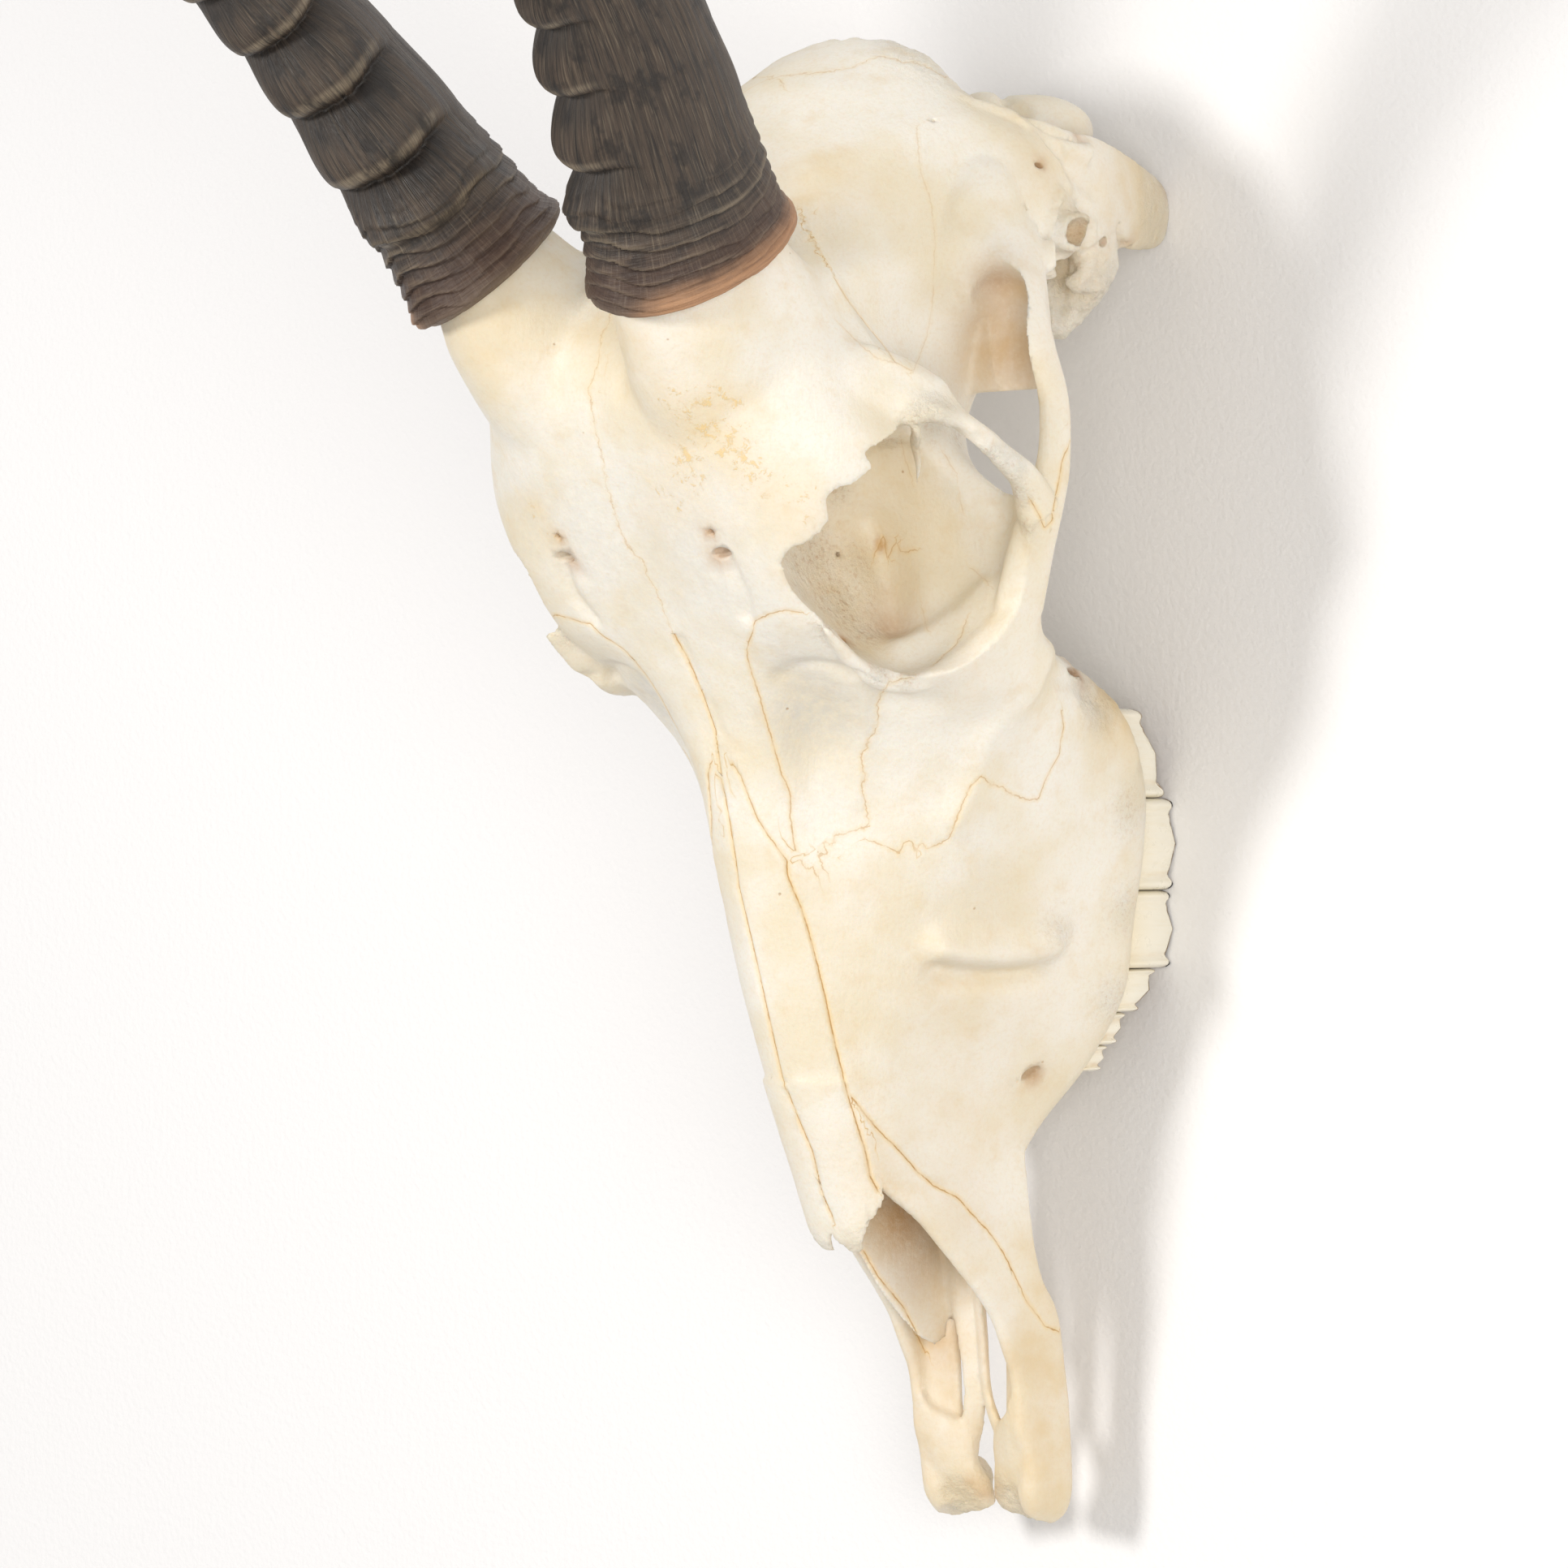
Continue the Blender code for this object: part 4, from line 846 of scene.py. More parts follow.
# Tinted places, some of them painted shade: pixel, radius in mm, strength
tints = {
    # grey patches; the strongest, in the fossa below the orbit, are painted shade
    "greyAndShade": [((1000, 870), 13, 0.9), ((1010, 930), 12, 0.5), ((700, 660), 26, 0.45), ((780, 720), 22, 0.35),
         ((960, 800), 14, 0.3), ((1180, 1090), 18, 0.2)],
    "flaky": [((845, 498), 8, 1.0), ((880, 494), 7, 1.0), ((905, 500), 5, 0.8), ((868, 530), 9, 1.0),
         ((900, 548), 9, 1.0), ((843, 560), 7, 1.0), ((848, 592), 7, 0.9), ((922, 575), 8, 1.0), ((948, 598),
         7, 0.9), ((832, 622), 6, 0.8), ((980, 610), 7, 0.9), ((992, 640), 6, 0.8), ((818, 605), 6, 0.8),
         ((806, 640), 5, 0.7), ((660, 625), 4, 1.0), ((688, 660), 4, 1.0), ((876, 640), 6, 0.6)],
    # tan stains; behind the squamosal edge and in the temple recess the tan is painted shade
    "tanAndShade": [((1375, 870), 9, 1.0), ((1000, 225), 12, 0.3), ((985, 250), 7, 0.3), ((1240, 430), 10, 0.9),
         ((1380, 230), 12, 0.35), ((1200, 1250), 26, 0.25), ((1040, 1110), 14, 0.2), ((640, 470), 12, 0.2),
         ((1060, 1420), 8, 0.4), ((1195, 840), 9, 0.2), ((750, 410), 6, 0.3), ((1230, 1320), 12, 0.25),
         ((1100, 1640), 12, 0.2), ((1280, 205), 7, 0.4), ((1340, 330), 12, 0.35), ((600, 430), 10, 0.4),
         ((1020, 700), 12, 0.45), ((1050, 770), 8, 0.45), ((1110, 560), 6, 0.3), ((1128, 560), 4, 0.7),
         ((1290, 1600), 16, 0.4), ((1285, 1690), 18, 0.65), ((1280, 1790), 20, 0.7), ((1190, 1800), 18, 0.5),
         ((1170, 1380), 20, 0.35), ((1245, 1660), 10, 0.3), ((1252, 360), 5, 0.8), ((1226, 420), 7, 0.8),
         ((1308, 335), 5, 0.6), ((1330, 286), 5, 0.6), ((1400, 225), 14, 0.55), ((1150, 1600), 9, 0.5),
         ((1160, 1660), 9, 0.9), ((1165, 1725), 8, 0.7)],
    "porous": [((1005, 690), 9, 1.0), ((1030, 740), 9, 1.0), ((1050, 700), 7, 0.8), ((1060, 780), 6, 0.8),
         ((1130, 527), 3, 1.0), ((1095, 545), 3, 1.0), ((1150, 528), 3, 1.0), ((1180, 537), 3, 0.8),
         ((1215, 560), 3, 1.0), ((1240, 580), 3, 1.0), ((1258, 610), 3, 1.0), ((1264, 650), 3, 0.8),
         ((1035, 606), 3, 0.9), ((1010, 660), 3, 0.9), ((980, 700), 3.5, 1.0), ((988, 730), 3.5, 1.0),
         ((1020, 770), 3.5, 1.0), ((1050, 800), 3.5, 1.0), ((1085, 828), 3, 1.0), ((1120, 836), 3, 0.8),
         ((1370, 860), 9, 1.0), ((1340, 830), 8, 1.0), ((1390, 1000), 6, 0.7), ((1385, 1120), 6, 0.7),
         ((1370, 1230), 6, 0.7), ((1328, 286), 4, 1.0), ((1310, 1150), 6, 0.6)],
    # brown stains, partly painted shade: darker at the top of the temple recess, along the orbit's deepest
    # line, in the holes, the fissure and the nose opening
    "brownStainAndShade": [((1326, 829), 3.5, 0.9), ((1229, 345), 6, 0.65), ((1230, 385), 8, 0.45), ((1244, 435), 9,
         0.45), ((1160, 1655), 6, 0.3), ((1273, 1325), 2.6, 0.8), ((1328, 286), 3.0, 0.3), ((889, 684), 2.8,
         0.7), ((875, 657), 2.0, 0.8), ((1039, 789), 1.8, 0.9), ((1280, 203), 1.8, 0.7), ((1085, 672), 1.4,
         0.9), ((1096, 775), 5, 0.6), ((1092, 735), 3, 0.3), ((1196, 1827), 2, 0.4), ((1211, 1839), 2, 0.5),
         ((1325, 166), 2.5, 0.6), ((1110, 1500), 9, 0.8), ((1130, 1550), 8, 0.4), ((1357, 296), 2.0, 0.3),
         ((1390, 300), 2.4, 0.4), ((1434, 232), 3, 0.4)],
}


def castOn(tree, pixels, every=3):
    # points of the surface seen along a line in the photograph, every few pixels
    pixels = np.array(pixels, float)
    if len(pixels) > 1:
        reach = np.concatenate([[0], np.cumsum(np.linalg.norm(np.diff(pixels, axis=0), axis=1))])
        stops = np.linspace(0, reach[-1], max(int(reach[-1] / every), 2))
        pixels = np.column_stack([np.interp(stops, reach, pixels[:, axis]) for axis in range(2)])
    found = []
    for pixel in pixels:
        origin, direction = photoRay(pixel)
        hit = tree.ray_cast(Vector(origin), Vector(direction))
        if hit[0] is not None:
            found.append((*hit[0], *hit[1]))
    return np.array(found).reshape(-1, 6)


def nearestTo(co, line):
    # distance from each point to the nearest of a line's points
    best = np.full(len(co), 1e9)
    for point in line:
        best = np.minimum(best, ((co - point) ** 2).sum(axis=1))
    return np.sqrt(best)


def closeTo(co, line, reach):
    return np.all((co > line.min(axis=0) - reach) & (co < line.max(axis=0) + reach), axis=1)


def brush(co, normals, line, radius, amount, spread=2.6):
    for side in (1, -1):
        path = line[:, :3] * (side, 1, 1)
        near = closeTo(co, path, radius * spread)
        away = nearestTo(co[near], path)
        co[near] += normals[near] * (amount * np.exp(-(away / radius) ** 2))[:, None]
    return co


seamLine = {"far": 9.0, "near": 4.0, "shortest": 1e-6, "longest": 36}


def seamField(co, lines):
    # signed distance to the nearest seam, its wander, darkness and depth
    distance = np.full(len(co), seamLine["far"])
    found = np.zeros((3, len(co)))
    for line, *looks, sides in lines:
        for side in sides:
            path = line[:, :3] * (side, 1, 1)
            facing = line[:, 3:] * (side, 1, 1)
            near = np.flatnonzero(closeTo(co, path, seamLine["near"]))
            spots = co[near]
            best = np.full(len(near), seamLine["far"])
            for a, b, normal in zip(path, path[1:], facing):
                step = b - a
                length = step @ step
                if length < seamLine["shortest"] or length > seamLine["longest"]:
                    continue
                share = np.clip(((spots - a) @ step) / length, 0, 1)
                offset = spots - (a + share[:, None] * step)
                away = np.linalg.norm(offset, axis=1)
                sign = np.where(offset @ np.cross(step, normal) >= 0, 1.0, -1.0)
                closer = away < np.abs(best)
                best[closer] = (away * sign)[closer]
            closer = np.abs(best) < np.abs(distance[near])
            mine = near[closer]
            distance[mine] = best[closer]
            found[:, mine] = np.array(looks)[:, None]
    return distance, *found


def selectPoints(thing, chosen):
    # leaves edit mode open with the chosen points selected
    alone(thing)
    bpy.ops.object.mode_set(mode="EDIT")
    bpy.ops.mesh.select_mode(type="VERT")
    bpy.ops.mesh.select_all(action="DESELECT")
    bpy.ops.object.mode_set(mode="OBJECT")
    thing.data.vertices.foreach_set("select", chosen)
    bpy.ops.object.mode_set(mode="EDIT")


def denseNear(thing, distance, reach, rounds, shrink=0.6):
    # smaller faces beside the seams, for fine lines
    for _ in range(rounds):
        selectPoints(thing, distance(pointsOf(thing)) < reach)
        bpy.ops.mesh.subdivide(number_cuts=1, smoothness=0.0)
        bpy.ops.mesh.quads_convert_to_tris()
        bpy.ops.object.mode_set(mode="OBJECT")
        reach *= shrink


def coarsened(thing, inside, ratio):
    # fewer faces where nobody looks closely
    selectPoints(thing, inside)
    bpy.ops.mesh.decimate(ratio=ratio)
    bpy.ops.object.mode_set(mode="OBJECT")


def spreadBlend(thing, co, tree):
    # smooths the listed joints on both sides
    weights = {}
    for pixel, radius, rounds in blended:
        line = castOn(tree, [pixel])
        if len(line):
            weight = weights.setdefault(rounds, np.zeros(len(co)))
            for side in (1, -1):
                away = np.linalg.norm(co - line[0, :3] * (side, 1, 1), axis=1)
                np.maximum(weight, smoothStep(radius, radius * 0.45, away), out=weight)
    for rounds, weight in weights.items():
        co = evened(thing, co, weight, rounds)
    return co


# Out of sight: the braincase as an oval, the nose and throat as boxes (low corner, high corner)
hiddenPlaces = {"brain": ((0, 264, 58), (25, 34, 27)),
                "boxes": [((-13, 84, 33), (13, 132, 81)), ((-11, 165, -99), (11, 242, 52))]}


def outOfSight(co):
    middle, radii = hiddenPlaces["brain"]
    hidden = np.linalg.norm((co - middle) / radii, axis=1) < 1
    for low, high in hiddenPlaces["boxes"]:
        hidden |= np.all((co > low) & (co < high), axis=1)
    return hidden


def treeOf(thing):
    return BVHTree.FromObject(thing, bpy.context.evaluated_depsgraph_get())


def nearRough(co, row):
    # how near each point is to a rough place, on either side of the head
    name, middle, radius, size, amount = row
    return [smoothStep(radius, radius * 0.5, np.linalg.norm(co - np.array(middle) * (side, 1, 1), axis=1))
            for side in (1, -1)]


def sculptCranium(grown):
    setPoints(grown, spreadBlend(grown, pointsOf(grown), treeOf(grown)))
    tree = treeOf(grown)
    co, normals = pointsOf(grown), normalsOf(grown)
    for name, pixels, radius, amount in strokes:
        line = castOn(tree, pixels)
        if len(line):
            co = brush(co, normals, line, radius, amount)
    height = skull["grain"] * layeredNoise(co, skull["grainSize"], 3, shared["seed"])
    for row in roughened:
        size, amount = row[3:]
        for near in nearRough(co, row):
            spots = np.flatnonzero(near)
            height[spots] += amount * near[spots] * layeredNoise(co[spots], size, 3, shared["seed"])
    co += normals * height[:, None]
    co[:, 2] = np.maximum(co[:, 2], 0.0)
    setPoints(grown, co)
    cutAway(grown, joined("holeTools", holeTools(tree)))


# Painted shade inside the orbit and the nose, in mm: (from, to) of each soft edge
insideShade = {"behindEye": 16, "orbit": (27, 15), "orbitShare": 0.15, "noseSide": (15, 11),
               "noseFront": (40, 60), "noseBack": (132, 120), "noseTop": (74, 66),
               "noseSlope": (60, 0.25), "noseFloor": (24, 34), "noseShare": 0.8}


def shadeInside(co):
    middle = np.array(orbit["middle"]) - unit(orbit["outward"]) * insideShade["behindEye"]
    away = np.minimum(*[np.linalg.norm(co - middle * (side, 1, 1), axis=1) for side in (1, -1)])
    inOrbit = smoothStep(*insideShade["orbit"], away)
    x, y, z = co.T
    start, slope = insideShade["noseSlope"]
    top = z - (y - start) * slope
    inNose = np.ones(len(co))
    for key, measure in (("noseSide", np.abs(x)), ("noseFront", y), ("noseBack", y), ("noseTop", top),
                         ("noseFloor", z)):
        inNose = inNose * smoothStep(*insideShade[key], measure)
    return np.maximum(inOrbit * insideShade["orbitShare"], inNose * insideShade["noseShare"])


def tintCranium(grown, tree, lines):
    # writes what the bone's finish reads: seams, rough places, tints (some of them painted shade) and the
    # painted shade inside
    co, normals = pointsOf(grown), normalsOf(grown)
    distance, wander, dark, depth = seamField(co, lines)
    co -= normals * (depth * np.exp(-(distance / skull["seamWidth"]) ** 2))[:, None]
    setPoints(grown, co)
    rough = np.zeros(len(co))
    for row in roughened:
        for near in nearRough(co, row):
            rough = np.maximum(rough, near * min(row[4] * skull["roughShare"], 1.0))
    looks = {"seam": np.clip(distance, -skull["seamClip"], skull["seamClip"]), "seamWander": wander,
             "seamNear": smoothStep(*skull["seamFade"], np.abs(distance)) * dark, "rough": rough,
             "inside": shadeInside(co)}
    for name, places in tints.items():
        looks[name] = np.zeros(len(co))
        for pixel, radius, strength in places:
            line = castOn(tree, [pixel])
            if len(line):
                for side in ((1,) if name == "flaky" else (1, -1)):
                    away = np.linalg.norm(co - line[0, :3] * (side, 1, 1), axis=1)
                    looks[name] = np.maximum(looks[name], strength * np.exp(-(away / radius) ** 2))
    for name, values in looks.items():
        setAttribute(grown, name, values)


def buildCranium():
    body = joined("craniumBody", [skullBody()] + bothSides([hornCore()]))
    grownTogether(body, skull["firstVoxel"], skull["firstSmoothing"])
    report("skull body grown together")
    for tool in bothSides(modelled(templeHollow)) + modelled(middleHollows) + bothSides([orbitCutter()]):
        cutAway(body, tool)
    report("hollows cut")
    leftBones = [orbitBand(), orbitSpine()] + modelled(faceBars) + muzzleBones() + modelled(skullBase)
    grown = joined("cranium_bone", [body] + bothSides(leftBones) + modelled(noseScrolls))
    grownTogether(grown, skull["lastVoxel"], 0)
    cutAway(grown, joined("recessTools", bothSides(modelled(templeRecess))))
    applied(grown, "SMOOTH", factor=0.5, iterations=skull["lastSmoothing"])
    report(f"bars and base added, {len(grown.data.vertices)} points")
    sculptCranium(grown)
    report("strokes sculpted")
    coarsened(grown, outOfSight(pointsOf(grown)), skull["hiddenShare"])
    triangles = sum(len(face.vertices) - 2 for face in grown.data.polygons)
    applied(grown, "DECIMATE", ratio=min(1.0, skull["faces"] / triangles), use_collapse_triangulate=True)
    report(f"thinned to {len(grown.data.polygons)} faces")
    tree = treeOf(grown)
    lines = [(castOn(tree, pixels), wave, strength, groove, (1,) if name in middleSeams else (1, -1))
             for name, pixels, wave, strength, groove in seams]
    lines = [line for line in lines if len(line[0]) > 1]
    denseNear(grown, lambda spots: np.abs(seamField(spots, lines)[0]), skull["seamReach"], 2)
    report(f"seams refined, {len(grown.data.polygons)} faces")
    tintCranium(grown, tree, lines)
    smoothShaded(grown)
    inPlace(grown)
    report("seams and tints written")
    return grown


def pairOf(made, name):
    # a finished left piece and its mirror image
    smoothShaded(made)
    other = otherSide(made)
    other.name = name
    for thing in (made, other):
        inPlace(thing)
    return made, other


def hornRelief(s, a):
    # how far the sheath stands out at each place s mm up the horn and a radians round it
    spots = np.column_stack([s.ravel(), np.cos(a).ravel() * horn["roundSize"],
                             np.sin(a).ravel() * horn["roundSize"]])

    def noiseAt(row, stretch, along=None):
        height, size, seed = horn[row]
        places = spots * stretch
        if along is not None:
            places[:, 0] = along
        return height * latticeNoise(places, size, seed)

    # ring ridges: rounded swells with a sharp notch at the lower side of each
    last = horn["notches"][-1]
    later = [last + horn["laterStep"] * k for k in range(1, horn["laterNotches"] + 1)]
    notches = np.array(horn["notches"] + later)
    first, last = notches[0], notches[-1]
    wobble = noiseAt("wobble", (0.2, 1, 1)).reshape(s.shape)
    place = np.interp((s + wobble).ravel(), notches, np.arange(len(notches))).reshape(s.shape)
    part = place - np.floor(place)
    early, blunt = horn["swellPowers"]
    swell = np.clip(np.sin(math.pi * part ** early), 0, 1) ** blunt
    crest = np.exp(-((part - horn["crestAt"]) / horn["crestWidth"]) ** 2)
    inRings = smoothStep(first, first + 3, s + wobble) * smoothStep(last, last - 10, s)
    facing = smoothStep(0.05, 0.92, np.cos(a + horn["frontTurn"]))
    fading = 1.0 - horn["fading"] * s / last
    showing = horn["backShare"] + (1 - horn["backShare"]) * facing
    rings = horn["ringHeight"] * fading * inRings * showing * (swell - 0.5)
    # growth layers near the base: wavy sheets that overlap like shingles
    sway = noiseAt("sway", (1, 1, 1), 3.0) + noiseAt("fineSway", (0.5, 1, 1))
    phase = (s.ravel() + sway) / horn["layerStep"]
    strong = 0.65 + noiseAt("uneven", (1, 0.5, 0.5), np.floor(phase) * 7)
    layers = (smoothStep(0.0, horn["overlap"], phase % 1.0) * (1.0 - phase % 1.0) - 0.42) * strong * 2.0
    layers = layers.reshape(s.shape) * smoothStep(*horn["layersEnd"], s) * horn["layerHeight"]
    # the rim's lip, fine fibres and broad lumps
    lipHeight, lipAt, lipWidth = horn["lip"]
    rimDepth, rimWidth = horn["rimRounding"]
    lip = lipHeight * np.exp(-((s - lipAt) / lipWidth) ** 2) - rimDepth * smoothStep(rimWidth, 0.0, s)
    height, size, seed = horn["fibres"]
    fibres = height * layeredNoise(spots * (0.06, 1, 1), size, 2, seed)
    height, size, seed = horn["lumps"]
    lumps = height * layeredNoise(spots * (0.6, 1, 1), size, 2, seed)
    # paler on the ring crests: partly wear, partly painted highlight
    looks = {"crest": crest * inRings * facing * fading, "layer": layers,
             # darker in the ring troughs: painted shade
             "trough": inRings * facing * smoothStep(0.35, 0.9, part)}
    return rings + layers + lip + (fibres + lumps).reshape(s.shape), looks


def buildHorn():
    length = np.linalg.norm(np.diff(smoothCurve(horn["line"], np.linspace(0, 1, 200)), axis=0), axis=1).sum()
    stations = np.concatenate([np.arange(0, horn["nearLength"], horn["nearStep"]),
                               np.arange(horn["nearLength"], length * horn["endShare"], horn["farStep"])])
    turn = np.linspace(0, 2 * math.pi, horn["around"], endpoint=False)
    relief, looks = hornRelief(*np.meshgrid(stations, turn, indexing="ij"))
    depths = np.linspace(0.0, horn["liningDepth"], horn["liningRows"])
    skins = []
    for shares, raised in ((depths[::-1], -horn["wall"]), (stations / length, relief)):
        here, front, side = hornFrames(shares)
        radii = [radius[:, None] + raised for radius in hornRadii(shares)]
        skins.append(hornRings(here, front, side, *radii, turn))
    made = gridMesh("horn_left_keratin", np.vstack(skins))
    rows = np.concatenate([-depths[::-1] * length, stations])
    setAttribute(made, "alongHorn", np.repeat(rows, len(turn)))
    setAttribute(made, "roundHornX", np.tile(np.cos(turn), len(rows)))
    setAttribute(made, "roundHornY", np.tile(np.sin(turn), len(rows)))
    lining = np.zeros(len(depths) * len(turn))
    for name, values in looks.items():
        setAttribute(made, name, np.concatenate([lining, values.ravel()]))
    report("horns swept")
    return pairOf(made, "horn_right_keratin")


# Cheek teeth of the left side: name, front and back, outer and inner face, worn end in front
# and behind
cheekTeeth = [
    ("premolar_2", 89.0, 94.6, 25.0, 17.5, 14.5, 12.0),
    ("premolar_3", 94.6, 101.6, 27.2, 17.5, 12.0, 8.6),
    ("premolar_4", 101.6, 110.8, 29.6, 17.0, 8.6, 2.6),
    ("molar_1", 110.8, 127.4, 31.2, 16.6, 0.0, 0.0),
    ("molar_2", 127.4, 147.0, 32.0, 17.0, 0.0, 0.0),
    ("molar_3", 147.0, 166.0, 31.4, 18.0, 1.6, 9.6),
]
# "styles" and "smallStyles" are the outer face's ribs: place along it and height
tooth = {"rootTop": 26.0, "scallop": 0.5, "spacing": 0.04, "around": 128, "levels": 30, "faceRings": 16,
         "cornerPower": 0.24, "twoLobed": 8, "styles": ((0.05, 1.7), (0.5, 2.2), (0.94, 1.6)),
         "smallStyles": ((0.09, 1.0), (0.9, 0.9)), "styleWidth": 0.08, "lobeRib": 0.9, "foldDepth": 1.6,
         "lean": 0.9, "bulge": 0.03, "chamfer": 0.35, "bowl": 0.9, "pit": 1.2, "enamelEdge": 0.35}


def buildTooth(name, front, back, outer, inner, wornFront, wornBack):
    # plan of the crown: a rounded box whose outer face has three ribs, and a fold inside
    centre = np.array([(outer + inner) / 2, (front + back) / 2])
    halfX, halfY = (outer - inner) / 2, (back - front) / 2 - tooth["spacing"]
    turn = np.linspace(0, 2 * math.pi, tooth["around"], endpoint=False)
    x = halfX * np.sign(np.cos(turn)) * np.abs(np.cos(turn)) ** tooth["cornerPower"]
    y = halfY * np.sign(np.sin(turn)) * np.abs(np.sin(turn)) ** tooth["cornerPower"]
    lobes = 2 if back - front > tooth["twoLobed"] else 1
    place = (y / halfY + 1) / 2
    outerFace = smoothStep(0.1, 0.8, x / halfX)
    innerFace = smoothStep(-0.1, -0.8, x / halfX)
    styles = sum(height * np.exp(-((place - spot) / tooth["styleWidth"]) ** 2)
                 for spot, height in tooth["styles" if lobes == 2 else "smallStyles"])
    rib = styles + tooth["lobeRib"] * np.exp(-((place * lobes % 1.0 - 0.52) / 0.15) ** 2) - 0.85
    fold = np.exp(-((place - 0.5) / 0.07) ** 2) if lobes == 2 else 0
    x = x + outerFace * (rib - 0.45) + innerFace * (tooth["foldDepth"] * fold)
    worn = wornFront + (wornBack - wornFront) * np.clip(place, 0, 1)
    worn = worn + outerFace * np.clip(0.5 - rib, 0, 1.2) * tooth["scallop"]
    rows = []
    # the chewing face: an enamel edge round a worn bowl with a pit in each lobe
    for share in np.linspace(0.0, 0.96, tooth["faceRings"])[::-1]:
        ringX, ringY = x * (1 - share), y * (1 - share)
        fromMiddle = np.abs(ringY / halfY)
        lobeAt = np.abs(fromMiddle - 0.5) * 2 if lobes == 2 else fromMiddle
        pit = np.exp(-((ringX / halfX - 0.1) / 0.28) ** 2 - (lobeAt / 0.55) ** 2)
        edge = tooth["enamelEdge"] * np.exp(-((share - 0.08) / 0.06) ** 2)
        drop = tooth["bowl"] * smoothStep(0.1, 0.35, share) + tooth["pit"] * pit - edge
        z = worn + np.maximum(drop, 0) + tooth["chamfer"]
        rows.append(np.column_stack([centre[0] - tooth["lean"] + ringX, centre[1] + ringY, z]))
    for share in np.linspace(0, 1, tooth["levels"]):
        lean = tooth["lean"] * (1 - share)
        bulge = 1 + tooth["bulge"] * math.sin(share * math.pi) - 0.02 * (1 - share)
        z = worn + (tooth["rootTop"] - worn) * share + np.maximum(tooth["chamfer"] - share * 6, 0)
        edge = 0.985 if share == 0 else 1.0
        rows.append(np.column_stack([centre[0] - lean + x * bulge * edge, centre[1] + y * edge, z]))
    grid = np.array(rows)
    made = gridMesh(name + "_left_enamel", grid)
    gum = np.clip((grid[..., 2] - worn) / (tooth["rootTop"] - worn), 0, 1)
    setAttribute(made, "gum", gum.ravel())
    chew = np.repeat([1.0, 0.0], [tooth["faceRings"], tooth["levels"]])
    setAttribute(made, "chew", np.repeat(chew, len(turn)))
    setAttribute(made, "valley", np.tile(outerFace * (0.5 - rib) + innerFace * fold, len(rows)))
    return pairOf(made, name + "_right_enamel")


# Materials

def linear(code):
    # sRGB hex to linear
    parts = [int(code[k:k + 2], 16) / 255 for k in (1, 3, 5)]
    return (*[p / 12.92 if p <= 0.04045 else ((p + 0.055) / 1.055) ** 2.4 for p in parts], 1.0)


def fill(tree, node, sockets):
    for socket, value in sockets.items():
        if isinstance(value, bpy.types.NodeSocket):
            tree.links.new(value, node.inputs[socket])
        else:
            node.inputs[socket].default_value = value


def add(tree, kind, sockets, out=0, **settings):
    # adds a node with its settings, fills its sockets with values or links, gives one output
    node = tree.nodes.new("ShaderNode" + kind)
    for name, value in settings.items():
        setattr(node, name, value)
    fill(tree, node, sockets)
    return node.outputs[out]


# Each finish names what it reads from the mesh, its noises (size in mm, or one along each axis,
# then detail, roughness and distortion), the steps worked out from them, its coats of colour
# (how strong, times which steps) and its relief (mm, times which steps). "perUnit" is how many
# millimetres one unit of its coordinates is.

